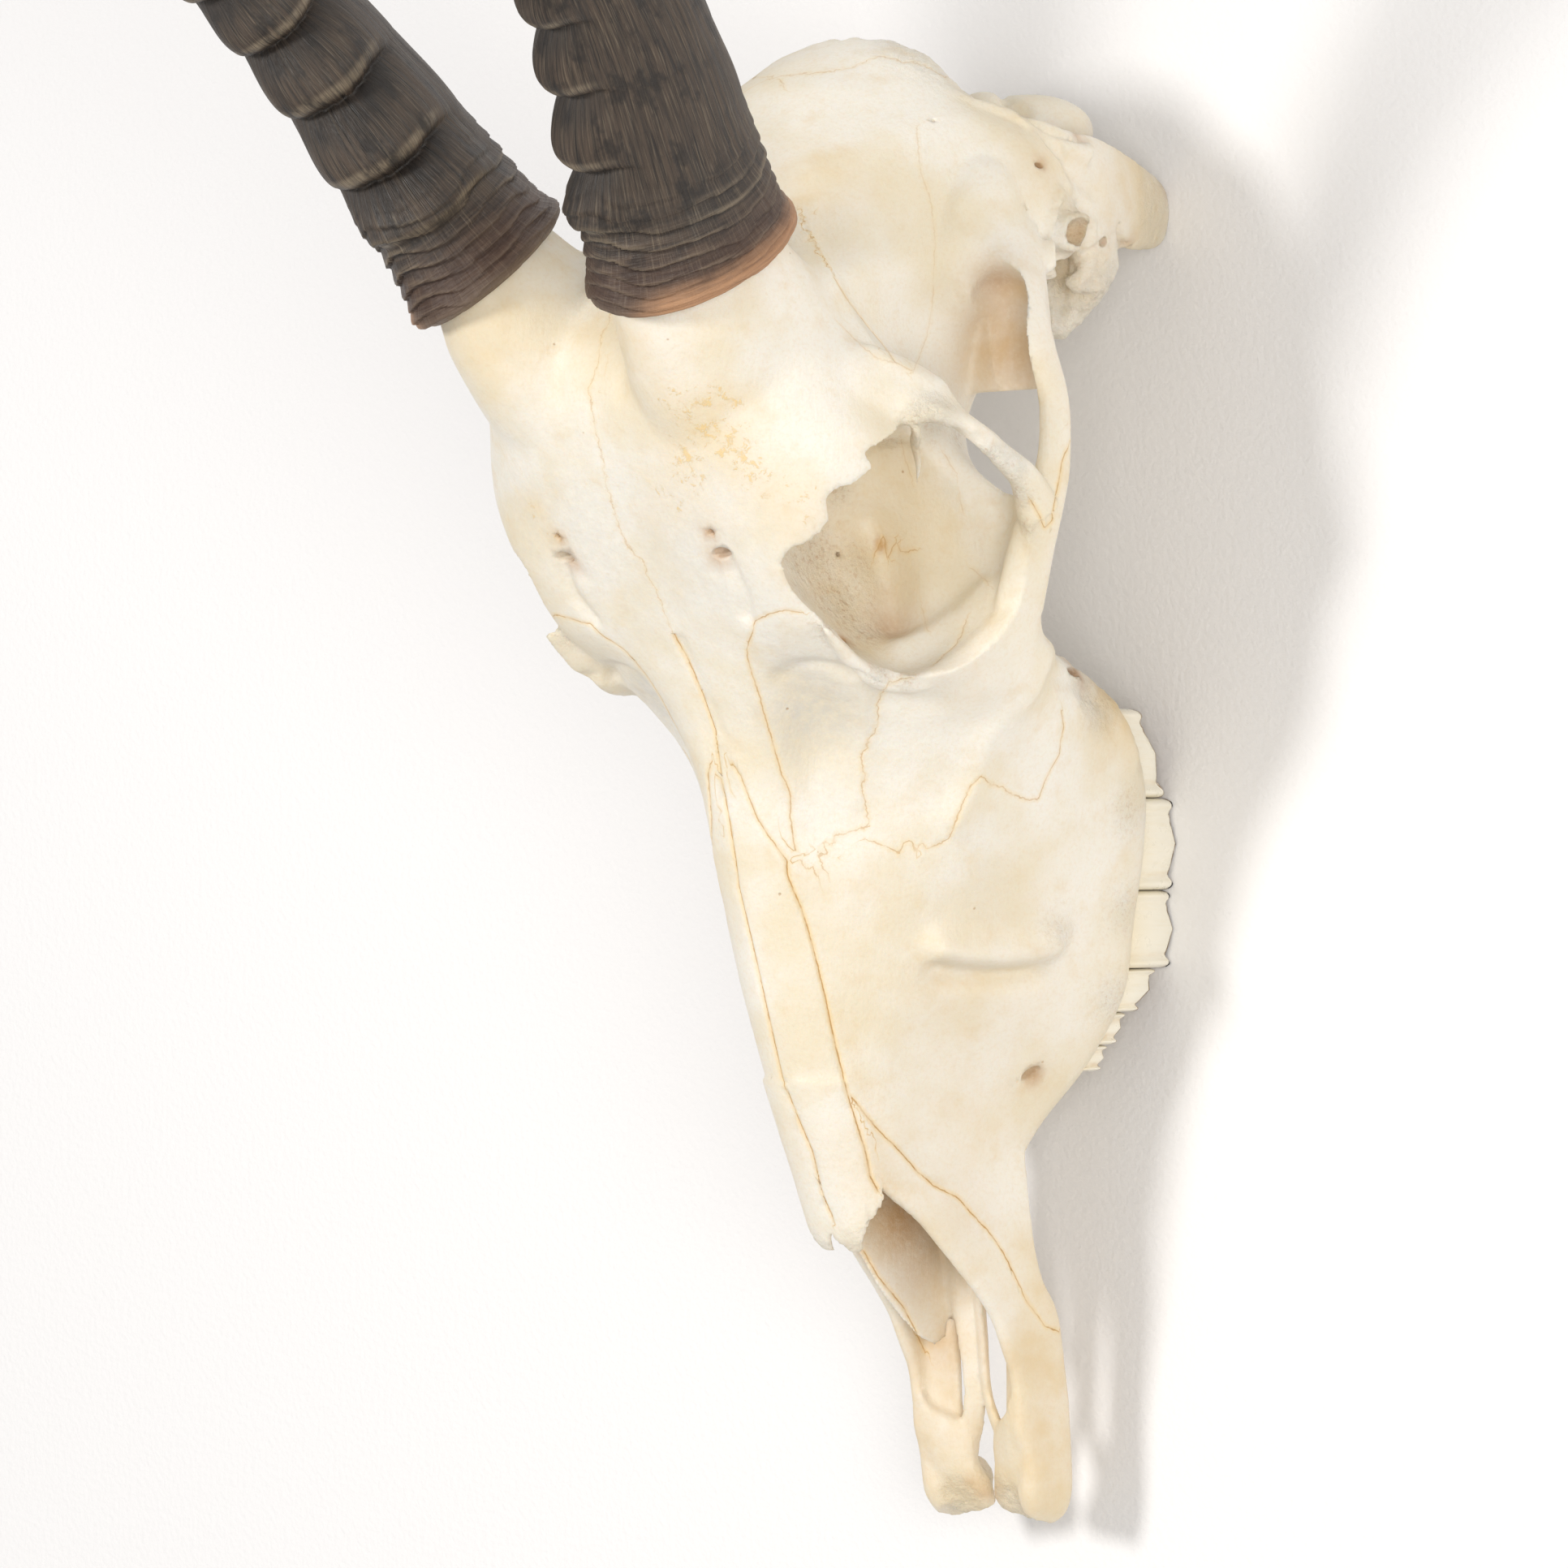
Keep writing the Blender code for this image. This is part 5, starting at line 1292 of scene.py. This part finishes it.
# Dry bleached bone: chalky and faintly greasy, so satin at most, with light that sinks in a
# little. Ivory with cream clouds, brown seams, a few dark specks and yellow flakes of dried grease.
bone = {
    "colours": {"light": "#EFEADF", "cream": "#E8DDC5", "warm": "#DDC08D", "greyAndShade": "#C6C5C3",
                "deep": "#B5834A", "line": "#BE9150", "flake": "#EAC67E", "inner": "#E6CDA3"},
    "perUnit": (1000, 1000, 1000),
    "reads": ("tanAndShade", "greyAndShade", "inside", "brownStainAndShade", "porous", "flaky", "seam", "seamNear", "seamWander", "rough"),
    "noises": {"clouds": (30, 3, 0.55, 0), "patches": (7, 3, 0.6, 0), "grain": (0.8, 3, 0.65, 0),
               "mottle": (2.2, 4, 0.7, 0), "pits": (1.2, 4, 0.7, 0), "flecks": (2.2, 5, 0.75, 0.4),
               "wiggle": (1.5, 2, 0.6, 0), "gaps": (3.5, 2, 0.5, 0), "lumps": (2.6, 3, 0.6, 0),
               "fibres": ((0.9, 5.625, 0.9), 3, 0.6, 0), "swells": (9, 3, 0.6, 0),
               "crumbs": (1.5, 5, 0.7, 0)},
    "specks": 14,
    "steps": {
        "cloudy": ("SMOOTHSTEP", "clouds", 0.40, 0.66, 0.0, 1.0),
        "patchy": ("SMOOTHSTEP", "patches", 0.50, 0.80, 0.0, 0.28),
        "grainy": ("SMOOTHSTEP", "grain", 0.42, 0.80, 0.0, 0.22),
        "tanPatches": ("SMOOTHSTEP", "patches", 0.25, 0.6, 0.5, 1.0),
        "greyMottle": ("SMOOTHSTEP", "mottle", 0.3, 0.65, 0.35, 1.0),
        "insideShadePits": ("SMOOTHSTEP", "pits", 0.3, 0.7, 0.35, 0.75),
        "brownPits": ("SMOOTHSTEP", "pits", 0.25, 0.6, 0.7, 1.0),
        "pores": ("SMOOTHSTEP", "pits", 0.50, 0.68, 0.0, 0.45),
        "flakeAt": ("MULTIPLY_ADD", "flaky", 0.32, "flecks"),
        "flakes": ("SMOOTHSTEP", "flakeAt", 0.80, 0.89, 0.0, 1.0),
        # a seam is a thin line that wanders like the real zigzag, with gaps and a soft halo
        "sway": ("MULTIPLY_ADD", "wiggle", 4.0, -2.0),
        "swayed": ("MULTIPLY_ADD", "sway", "seamWander", "seam"),
        "away": ("ABSOLUTE", "swayed"),
        "seamLine": ("SMOOTHSTEP", "away", 0.06, 0.22, 1.0, 0.0),
        "seamGaps": ("SMOOTHSTEP", "gaps", 0.34, 0.55, 0.35, 1.0),
        "halo": ("SMOOTHSTEP", "away", 0.15, 1.1, 0.4, 0.0),
        "dots": ("SMOOTHSTEP", "specks", 0.012, 0.028, 0.55, 0.0),
        "crumbleSum": ("ADD", "rough", "porous"),
        "crumbly": ("MINIMUM", "crumbleSum", 1.0),
        "satin": ("SMOOTHSTEP", "patches", 0.3, 0.7, 0.46, 0.62)},
    "base": "light",
    # the inner coat over the inside mask is painted shade in the orbit and the nose; the grey, tan and brown
    # tints carry painted shade as well as stains
    "coats": [("cream", 1.0, "cloudy"), ("warm", 1.0, "patchy"), ("warm", 1.0, "grainy"),
              ("warm", 0.8, "tanAndShade", "tanPatches"), ("greyAndShade", 0.6, "greyAndShade", "greyMottle"),
              ("inner", 1.0, "inside", "insideShadePits"), ("deep", 0.85, "brownStainAndShade", "brownPits"),
              ("deep", 1.0, "porous", "pores"), ("flake", 0.22, "flaky"), ("flake", 0.6, "flakes"),
              ("flake", 1.0, "halo", "seamNear"), ("line", 0.85, "seamLine", "seamGaps", "seamNear"),
              ("deep", 1.0, "dots")],
    "relief": [(0.10, "grain"), (0.10, "lumps"), (-0.051, "seamLine", "seamGaps", "seamNear"),
               (0.11, "fibres"), (0.45, "swells"), (0.06, "flakes"), (-0.3, "dots"), (0.35, "pits", "inside"),
               (1.3, "crumbs", "crumbly")],
    "roughness": "satin", "bump": 0.8,
    "shader": {"IOR": 1.5, "Subsurface Weight": 0.12, "Subsurface Radius": (0.0022, 0.0014, 0.0008),
               "Subsurface Scale": 1.0},
}

# Horn keratin: packed fibres along the horn, dull grey-brown, paler where it is rubbed, with thin growth
# layers at the base. The ring crests are paler, partly wear and partly painted highlight; the ring troughs
# and the low parts of the growth layers are darker with painted shade. The fresh rim is orange outside and
# thin in front.
keratin = {
    "colours": {"dark": "#1C1612", "mid": "#4E4034", "worn": "#978872", "rim": "#BF906A", "oldRim": "#776453",
                "purple": "#5A3D2F"},
    "place": ("alongHorn", "roundHornX", "roundHornY"), "perUnit": (1, 18, 18),
    "reads": ("alongHorn", "roundHornX", "roundHornY", "crest", "trough", "layer"),
    "noises": {"fibre": ((14, 0.8, 0.8), 4, 0.65, 0), "fineFibre": ((8, 0.3, 0.3), 2, 0.6, 0),
               "sheets": ((0.9, 16, 16), 4, 0.65, 0), "blotch": ((7, 6, 6), 4, 0.62, 0)},
    "steps": {
        "base": ("SMOOTHSTEP", "alongHorn", 30.0, 14.0, 0.0, 1.0),
        "sheetsMore": ("SUBTRACT", "sheets", "fibre"),
        "pattern": ("MULTIPLY_ADD", "sheetsMore", "base", "fibre"),
        "patterned": ("SMOOTHSTEP", "pattern", 0.28, 0.70, 0.0, 1.0),
        "combed": ("SMOOTHSTEP", "fineFibre", 0.50, 0.74, 0.0, 0.32),
        # the ring crests paler: partly wear, partly painted highlight
        "crestShare": ("SMOOTHSTEP", "crest", 0.15, 0.9, 0.0, 1.0),
        "crestFibres": ("SMOOTHSTEP", "fineFibre", 0.3, 0.6, 0.25, 0.8),
        "crestBlotches": ("SMOOTHSTEP", "blotch", 0.35, 0.6, 1.0, 0.45),
        # painted shade in the ring troughs
        "ringTroughShadeShare": ("SMOOTHSTEP", "trough", 0.1, 0.9, 0.0, 0.6),
        "blotches": ("SMOOTHSTEP", "blotch", 0.50, 0.66, 0.0, 0.8),
        "sheetEdge": ("SMOOTHSTEP", "layer", 0.1, 0.6, 0.0, 0.5),
        "sheetWear": ("SMOOTHSTEP", "sheets", 0.35, 0.6, 0.0, 1.0),
        "sheetShade": ("SMOOTHSTEP", "layer", -0.15, -0.5, 0.0, 0.7),
        "wavy": ("MULTIPLY_ADD", "blotch", 6.0, "alongHorn"),
        "purpleShare": ("SMOOTHSTEP", "wavy", 24.0, 12.0, 0.0, 0.42),
        "inFront": ("MULTIPLY", "roundHornX", -0.389),
        "outside": ("MULTIPLY_ADD", "roundHornY", 0.921, "inFront"),
        "fresh": ("SMOOTHSTEP", "outside", -0.05, 0.5, 0.0, 1.0),
        "rimWave": ("MULTIPLY_ADD", "blotch", 3.0, "alongHorn"),
        "rimAt": ("MULTIPLY_ADD", "fresh", -3.5, "rimWave"),
        "rimShare": ("SMOOTHSTEP", "rimAt", 8.0, 1.5, 0.0, 0.9),
        "rimSheets": ("SMOOTHSTEP", "sheets", 0.3, 0.6, 0.65, 1.0),
        "dull": ("SMOOTHSTEP", "fibre", 0.3, 0.7, 0.42, 0.62),
        "upHorn": ("SMOOTHSTEP", "alongHorn", 10.0, 24.0, 0.35, 1.0)},
    "base": "dark", "mixes": {"rimTone": ("fresh", "oldRim", "rim")},
    "coats": [("mid", 1.0, "patterned"), ("worn", 1.0, "combed"),
              ("worn", 1.0, "crestShare", "crestFibres", "crestBlotches"), ("dark", 1.0, "ringTroughShadeShare"),
              ("dark", 1.0, "blotches"), ("worn", 1.0, "sheetEdge", "sheetWear"), ("dark", 1.0, "sheetShade"),
              ("purple", 1.0, "purpleShare"), ("rimTone", 1.0, "rimShare", "rimSheets")],
    "relief": [(0.5, "fibre", "upHorn"), (0.25, "fineFibre", "upHorn"), (0.6, "sheets", "base")],
    "roughness": "dull", "bump": 0.9, "shader": {"IOR": 1.55},
}

# Tooth enamel: grown in smooth layers and polished by chewing, so glossy and milky. Cream at the gum, brown
# in the folds, partly stain and partly painted shade, and where the dentine shows.
enamel = {
    "colours": {"white": "#F8F2E2", "cream": "#EEDFBC", "stainAndShade": "#C9A468", "dentine": "#8E6A41"},
    "perUnit": (1000, 1000, 1000), "reads": ("gum", "chew", "valley"),
    "noises": {"clouds": (3.0, 3, 0.6, 0), "streaks": ((0.9, 0.9, 7.5), 3, 0.6, 0)},
    "steps": {
        "gumShare": ("SMOOTHSTEP", "gum", 0.15, 0.75, 0.0, 1.0),
        "streaked": ("SMOOTHSTEP", "streaks", 0.45, 0.75, 0.0, 0.25),
        "folds": ("SMOOTHSTEP", "valley", 0.6, 1.4, 0.0, 1.0),
        "foldClouds": ("SMOOTHSTEP", "clouds", 0.35, 0.65, 0.4, 0.9),
        "chewClouds": ("SMOOTHSTEP", "clouds", 0.35, 0.6, 0.35, 0.9),
        "gloss": ("SMOOTHSTEP", "clouds", 0.3, 0.7, 0.26, 0.42)},
    "base": "white",
    # the folds' brown is partly stain, partly painted shade in the valleys between the ribs
    "coats": [("cream", 1.0, "gumShare"), ("cream", 1.0, "streaked"), ("stainAndShade", 0.55, "folds", "foldClouds"),
              ("dentine", 1.0, "chew", "chewClouds")],
    "relief": [(0.12, "streaks")], "roughness": "gloss", "bump": 0.7, "shader": {"IOR": 1.62},
}

# Matt white paint rolled on board: no gloss and the roller's faint grain
whiteBoard = {
    "colours": {"white": "#F3F2F3"}, "perUnit": (1000, 1000, 1000), "reads": (),
    "noises": {"fine": (1.6, 2, 0.5, 0)}, "steps": {}, "base": "white", "coats": [],
    "relief": [(1.0, "fine")], "roughness": 0.9, "bump": 0.25, "shader": {},
}


def finishFrom(name, finish):
    made = bpy.data.materials.new(name)
    made.use_nodes = True
    tree = made.node_tree
    at = {read: add(tree, "Attribute", {}, "Fac", attribute_name=read) for read in finish["reads"]}
    if "place" in finish:
        spot = add(tree, "CombineXYZ", {axis: at[read] for axis, read in enumerate(finish["place"])})
    else:
        spot = add(tree, "TexCoord", {}, "Object")
    for field, (size, detail, roughness, distortion) in finish["noises"].items():
        sizes = size if isinstance(size, tuple) else (size,) * 3
        scale = [unit / mm for unit, mm in zip(finish["perUnit"], sizes)]
        vector = add(tree, "Mapping", {"Vector": spot, "Scale": scale})
        at[field] = add(tree, "TexNoise", {"Vector": vector, "Scale": 1.0, "Detail": detail,
                                           "Roughness": roughness, "Distortion": distortion})
    if "specks" in finish:
        scale = finish["perUnit"][0] / finish["specks"]
        at["specks"] = add(tree, "TexVoronoi", {"Vector": spot, "Scale": scale}, "Distance", feature="F1")
    for step, (action, *values) in finish["steps"].items():
        smooth = action == "SMOOTHSTEP"
        kind, setting = ("MapRange", "interpolation_type") if smooth else ("Math", "operation")
        sockets = {k: at.get(value, value) for k, value in enumerate(values)}
        at[step] = add(tree, kind, sockets, **{setting: action})
    tones = {tone: linear(code) for tone, code in finish["colours"].items()}
    for tone, (share, low, high) in finish.get("mixes", {}).items():
        tones[tone] = add(tree, "Mix", {0: at[share], 6: tones[low], 7: tones[high]}, 2, data_type="RGBA")
    colour = tones[finish["base"]]
    for tone, share, *factors in finish["coats"]:
        for factor in factors:
            share = add(tree, "Math", {0: at[factor], 1: share}, operation="MULTIPLY")
        colour = add(tree, "Mix", {0: share, 6: colour, 7: tones[tone]}, 2, data_type="RGBA")
    height = 0.0
    for amount, *factors, last in finish["relief"]:
        for factor in factors:
            amount = add(tree, "Math", {0: at[factor], 1: amount}, operation="MULTIPLY")
        height = add(tree, "Math", {0: at[last], 1: amount, 2: height}, operation="MULTIPLY_ADD")
    normal = add(tree, "Bump", {"Height": height, "Strength": finish["bump"], "Distance": shared["mm"]})
    roughness = at.get(finish["roughness"], finish["roughness"])
    fill(tree, tree.nodes["Principled BSDF"],
         {"Base Color": colour, "Roughness": roughness, "Normal": normal, **finish["shader"]})
    return made


# Stage: soft studio light, one panel overhead, a weaker one beside the camera, and a pale floor under pale
# surroundings
studio = {
    "panels": {
        "overheadPanel": {"place": (-0.35, 0.30, 1.85), "size": 0.42, "watts": 17.0, "tone": "#FFFDFA"},
        "sidePanel": {"place": (1.35, -0.10, 1.20), "size": 0.9, "watts": 13.4, "tone": "#FFFCF6"},
    },
    "air": 0.49, "airTone": "#FFFEFC", "floorSize": 8.0, "seesTo": 50,
}


def buildStage():
    target = Vector(photoView["target"]) * shared["mm"]
    target.y -= shared["middleOfLength"] * shared["mm"]
    away = Vector(photoView["away"]).normalized()
    up = Vector(photoView["up"])
    right = up.cross(away)
    lens = bpy.data.cameras.new("photoCamera")
    camera = bpy.data.objects.new("photoCamera", lens)
    bpy.context.scene.collection.objects.link(camera)
    turn = Matrix((right, up, away)).transposed().to_4x4()
    turn.translation = target + away * photoView["distance"] * shared["mm"]
    camera.matrix_world = turn
    lens.sensor_width = photoView["sensor"]
    lens.lens = photoView["sensor"] * photoView["distance"] / photoView["across"]
    lens.clip_end = studio["seesTo"]
    bpy.context.scene.camera = camera
    bpy.ops.object.select_all(action="DESELECT")
    bpy.ops.mesh.primitive_plane_add(size=studio["floorSize"], location=(0, 0, 0))
    floor = bpy.context.active_object
    floor.name = "floor"
    floor.data.materials.append(finishFrom("WhiteBoard", whiteBoard))
    for name, panel in studio["panels"].items():
        data = bpy.data.lights.new(name, "AREA")
        data.shape = "DISK"
        data.size = panel["size"]
        data.energy = panel["watts"]
        data.color = linear(panel["tone"])[:3]
        lamp = bpy.data.objects.new(name, data)
        bpy.context.scene.collection.objects.link(lamp)
        lamp.location = panel["place"]
        lamp.rotation_euler = (lamp.location - target).to_track_quat("Z", "Y").to_euler()
    world = bpy.data.worlds.new("studio")
    bpy.context.scene.world = world
    world.use_nodes = True
    background = world.node_tree.nodes["Background"]
    background.inputs["Color"].default_value = linear(studio["airTone"])
    background.inputs["Strength"].default_value = studio["air"]
    bpy.context.scene.view_settings.view_transform = "Standard"  # whites stay white, as on the photograph
    report("camera, lights and floor")


def main():
    buildStage()
    boneFinish = finishFrom("BleachedBone", bone)
    hornFinish = finishFrom("HornKeratin", keratin)
    toothFinish = finishFrom("ToothEnamel", enamel)
    cranium = buildCranium()
    cranium.data.materials.clear()
    cranium.data.materials.append(boneFinish)
    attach(cranium, "root")
    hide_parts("cranium")
    for made, node in zip(buildHorn(), ("horn_sheath_left", "horn_sheath_right")):
        made.data.materials.append(hornFinish)
        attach(made, "root")
        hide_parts(node)
    for row in cheekTeeth:
        for made, side in zip(buildTooth(*row), ("left", "right")):
            made.data.materials.append(toothFinish)
            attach(made, "root")
            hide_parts(row[0] + "_" + side)
    report("teeth made")
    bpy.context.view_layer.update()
    report("sizes written")


main()
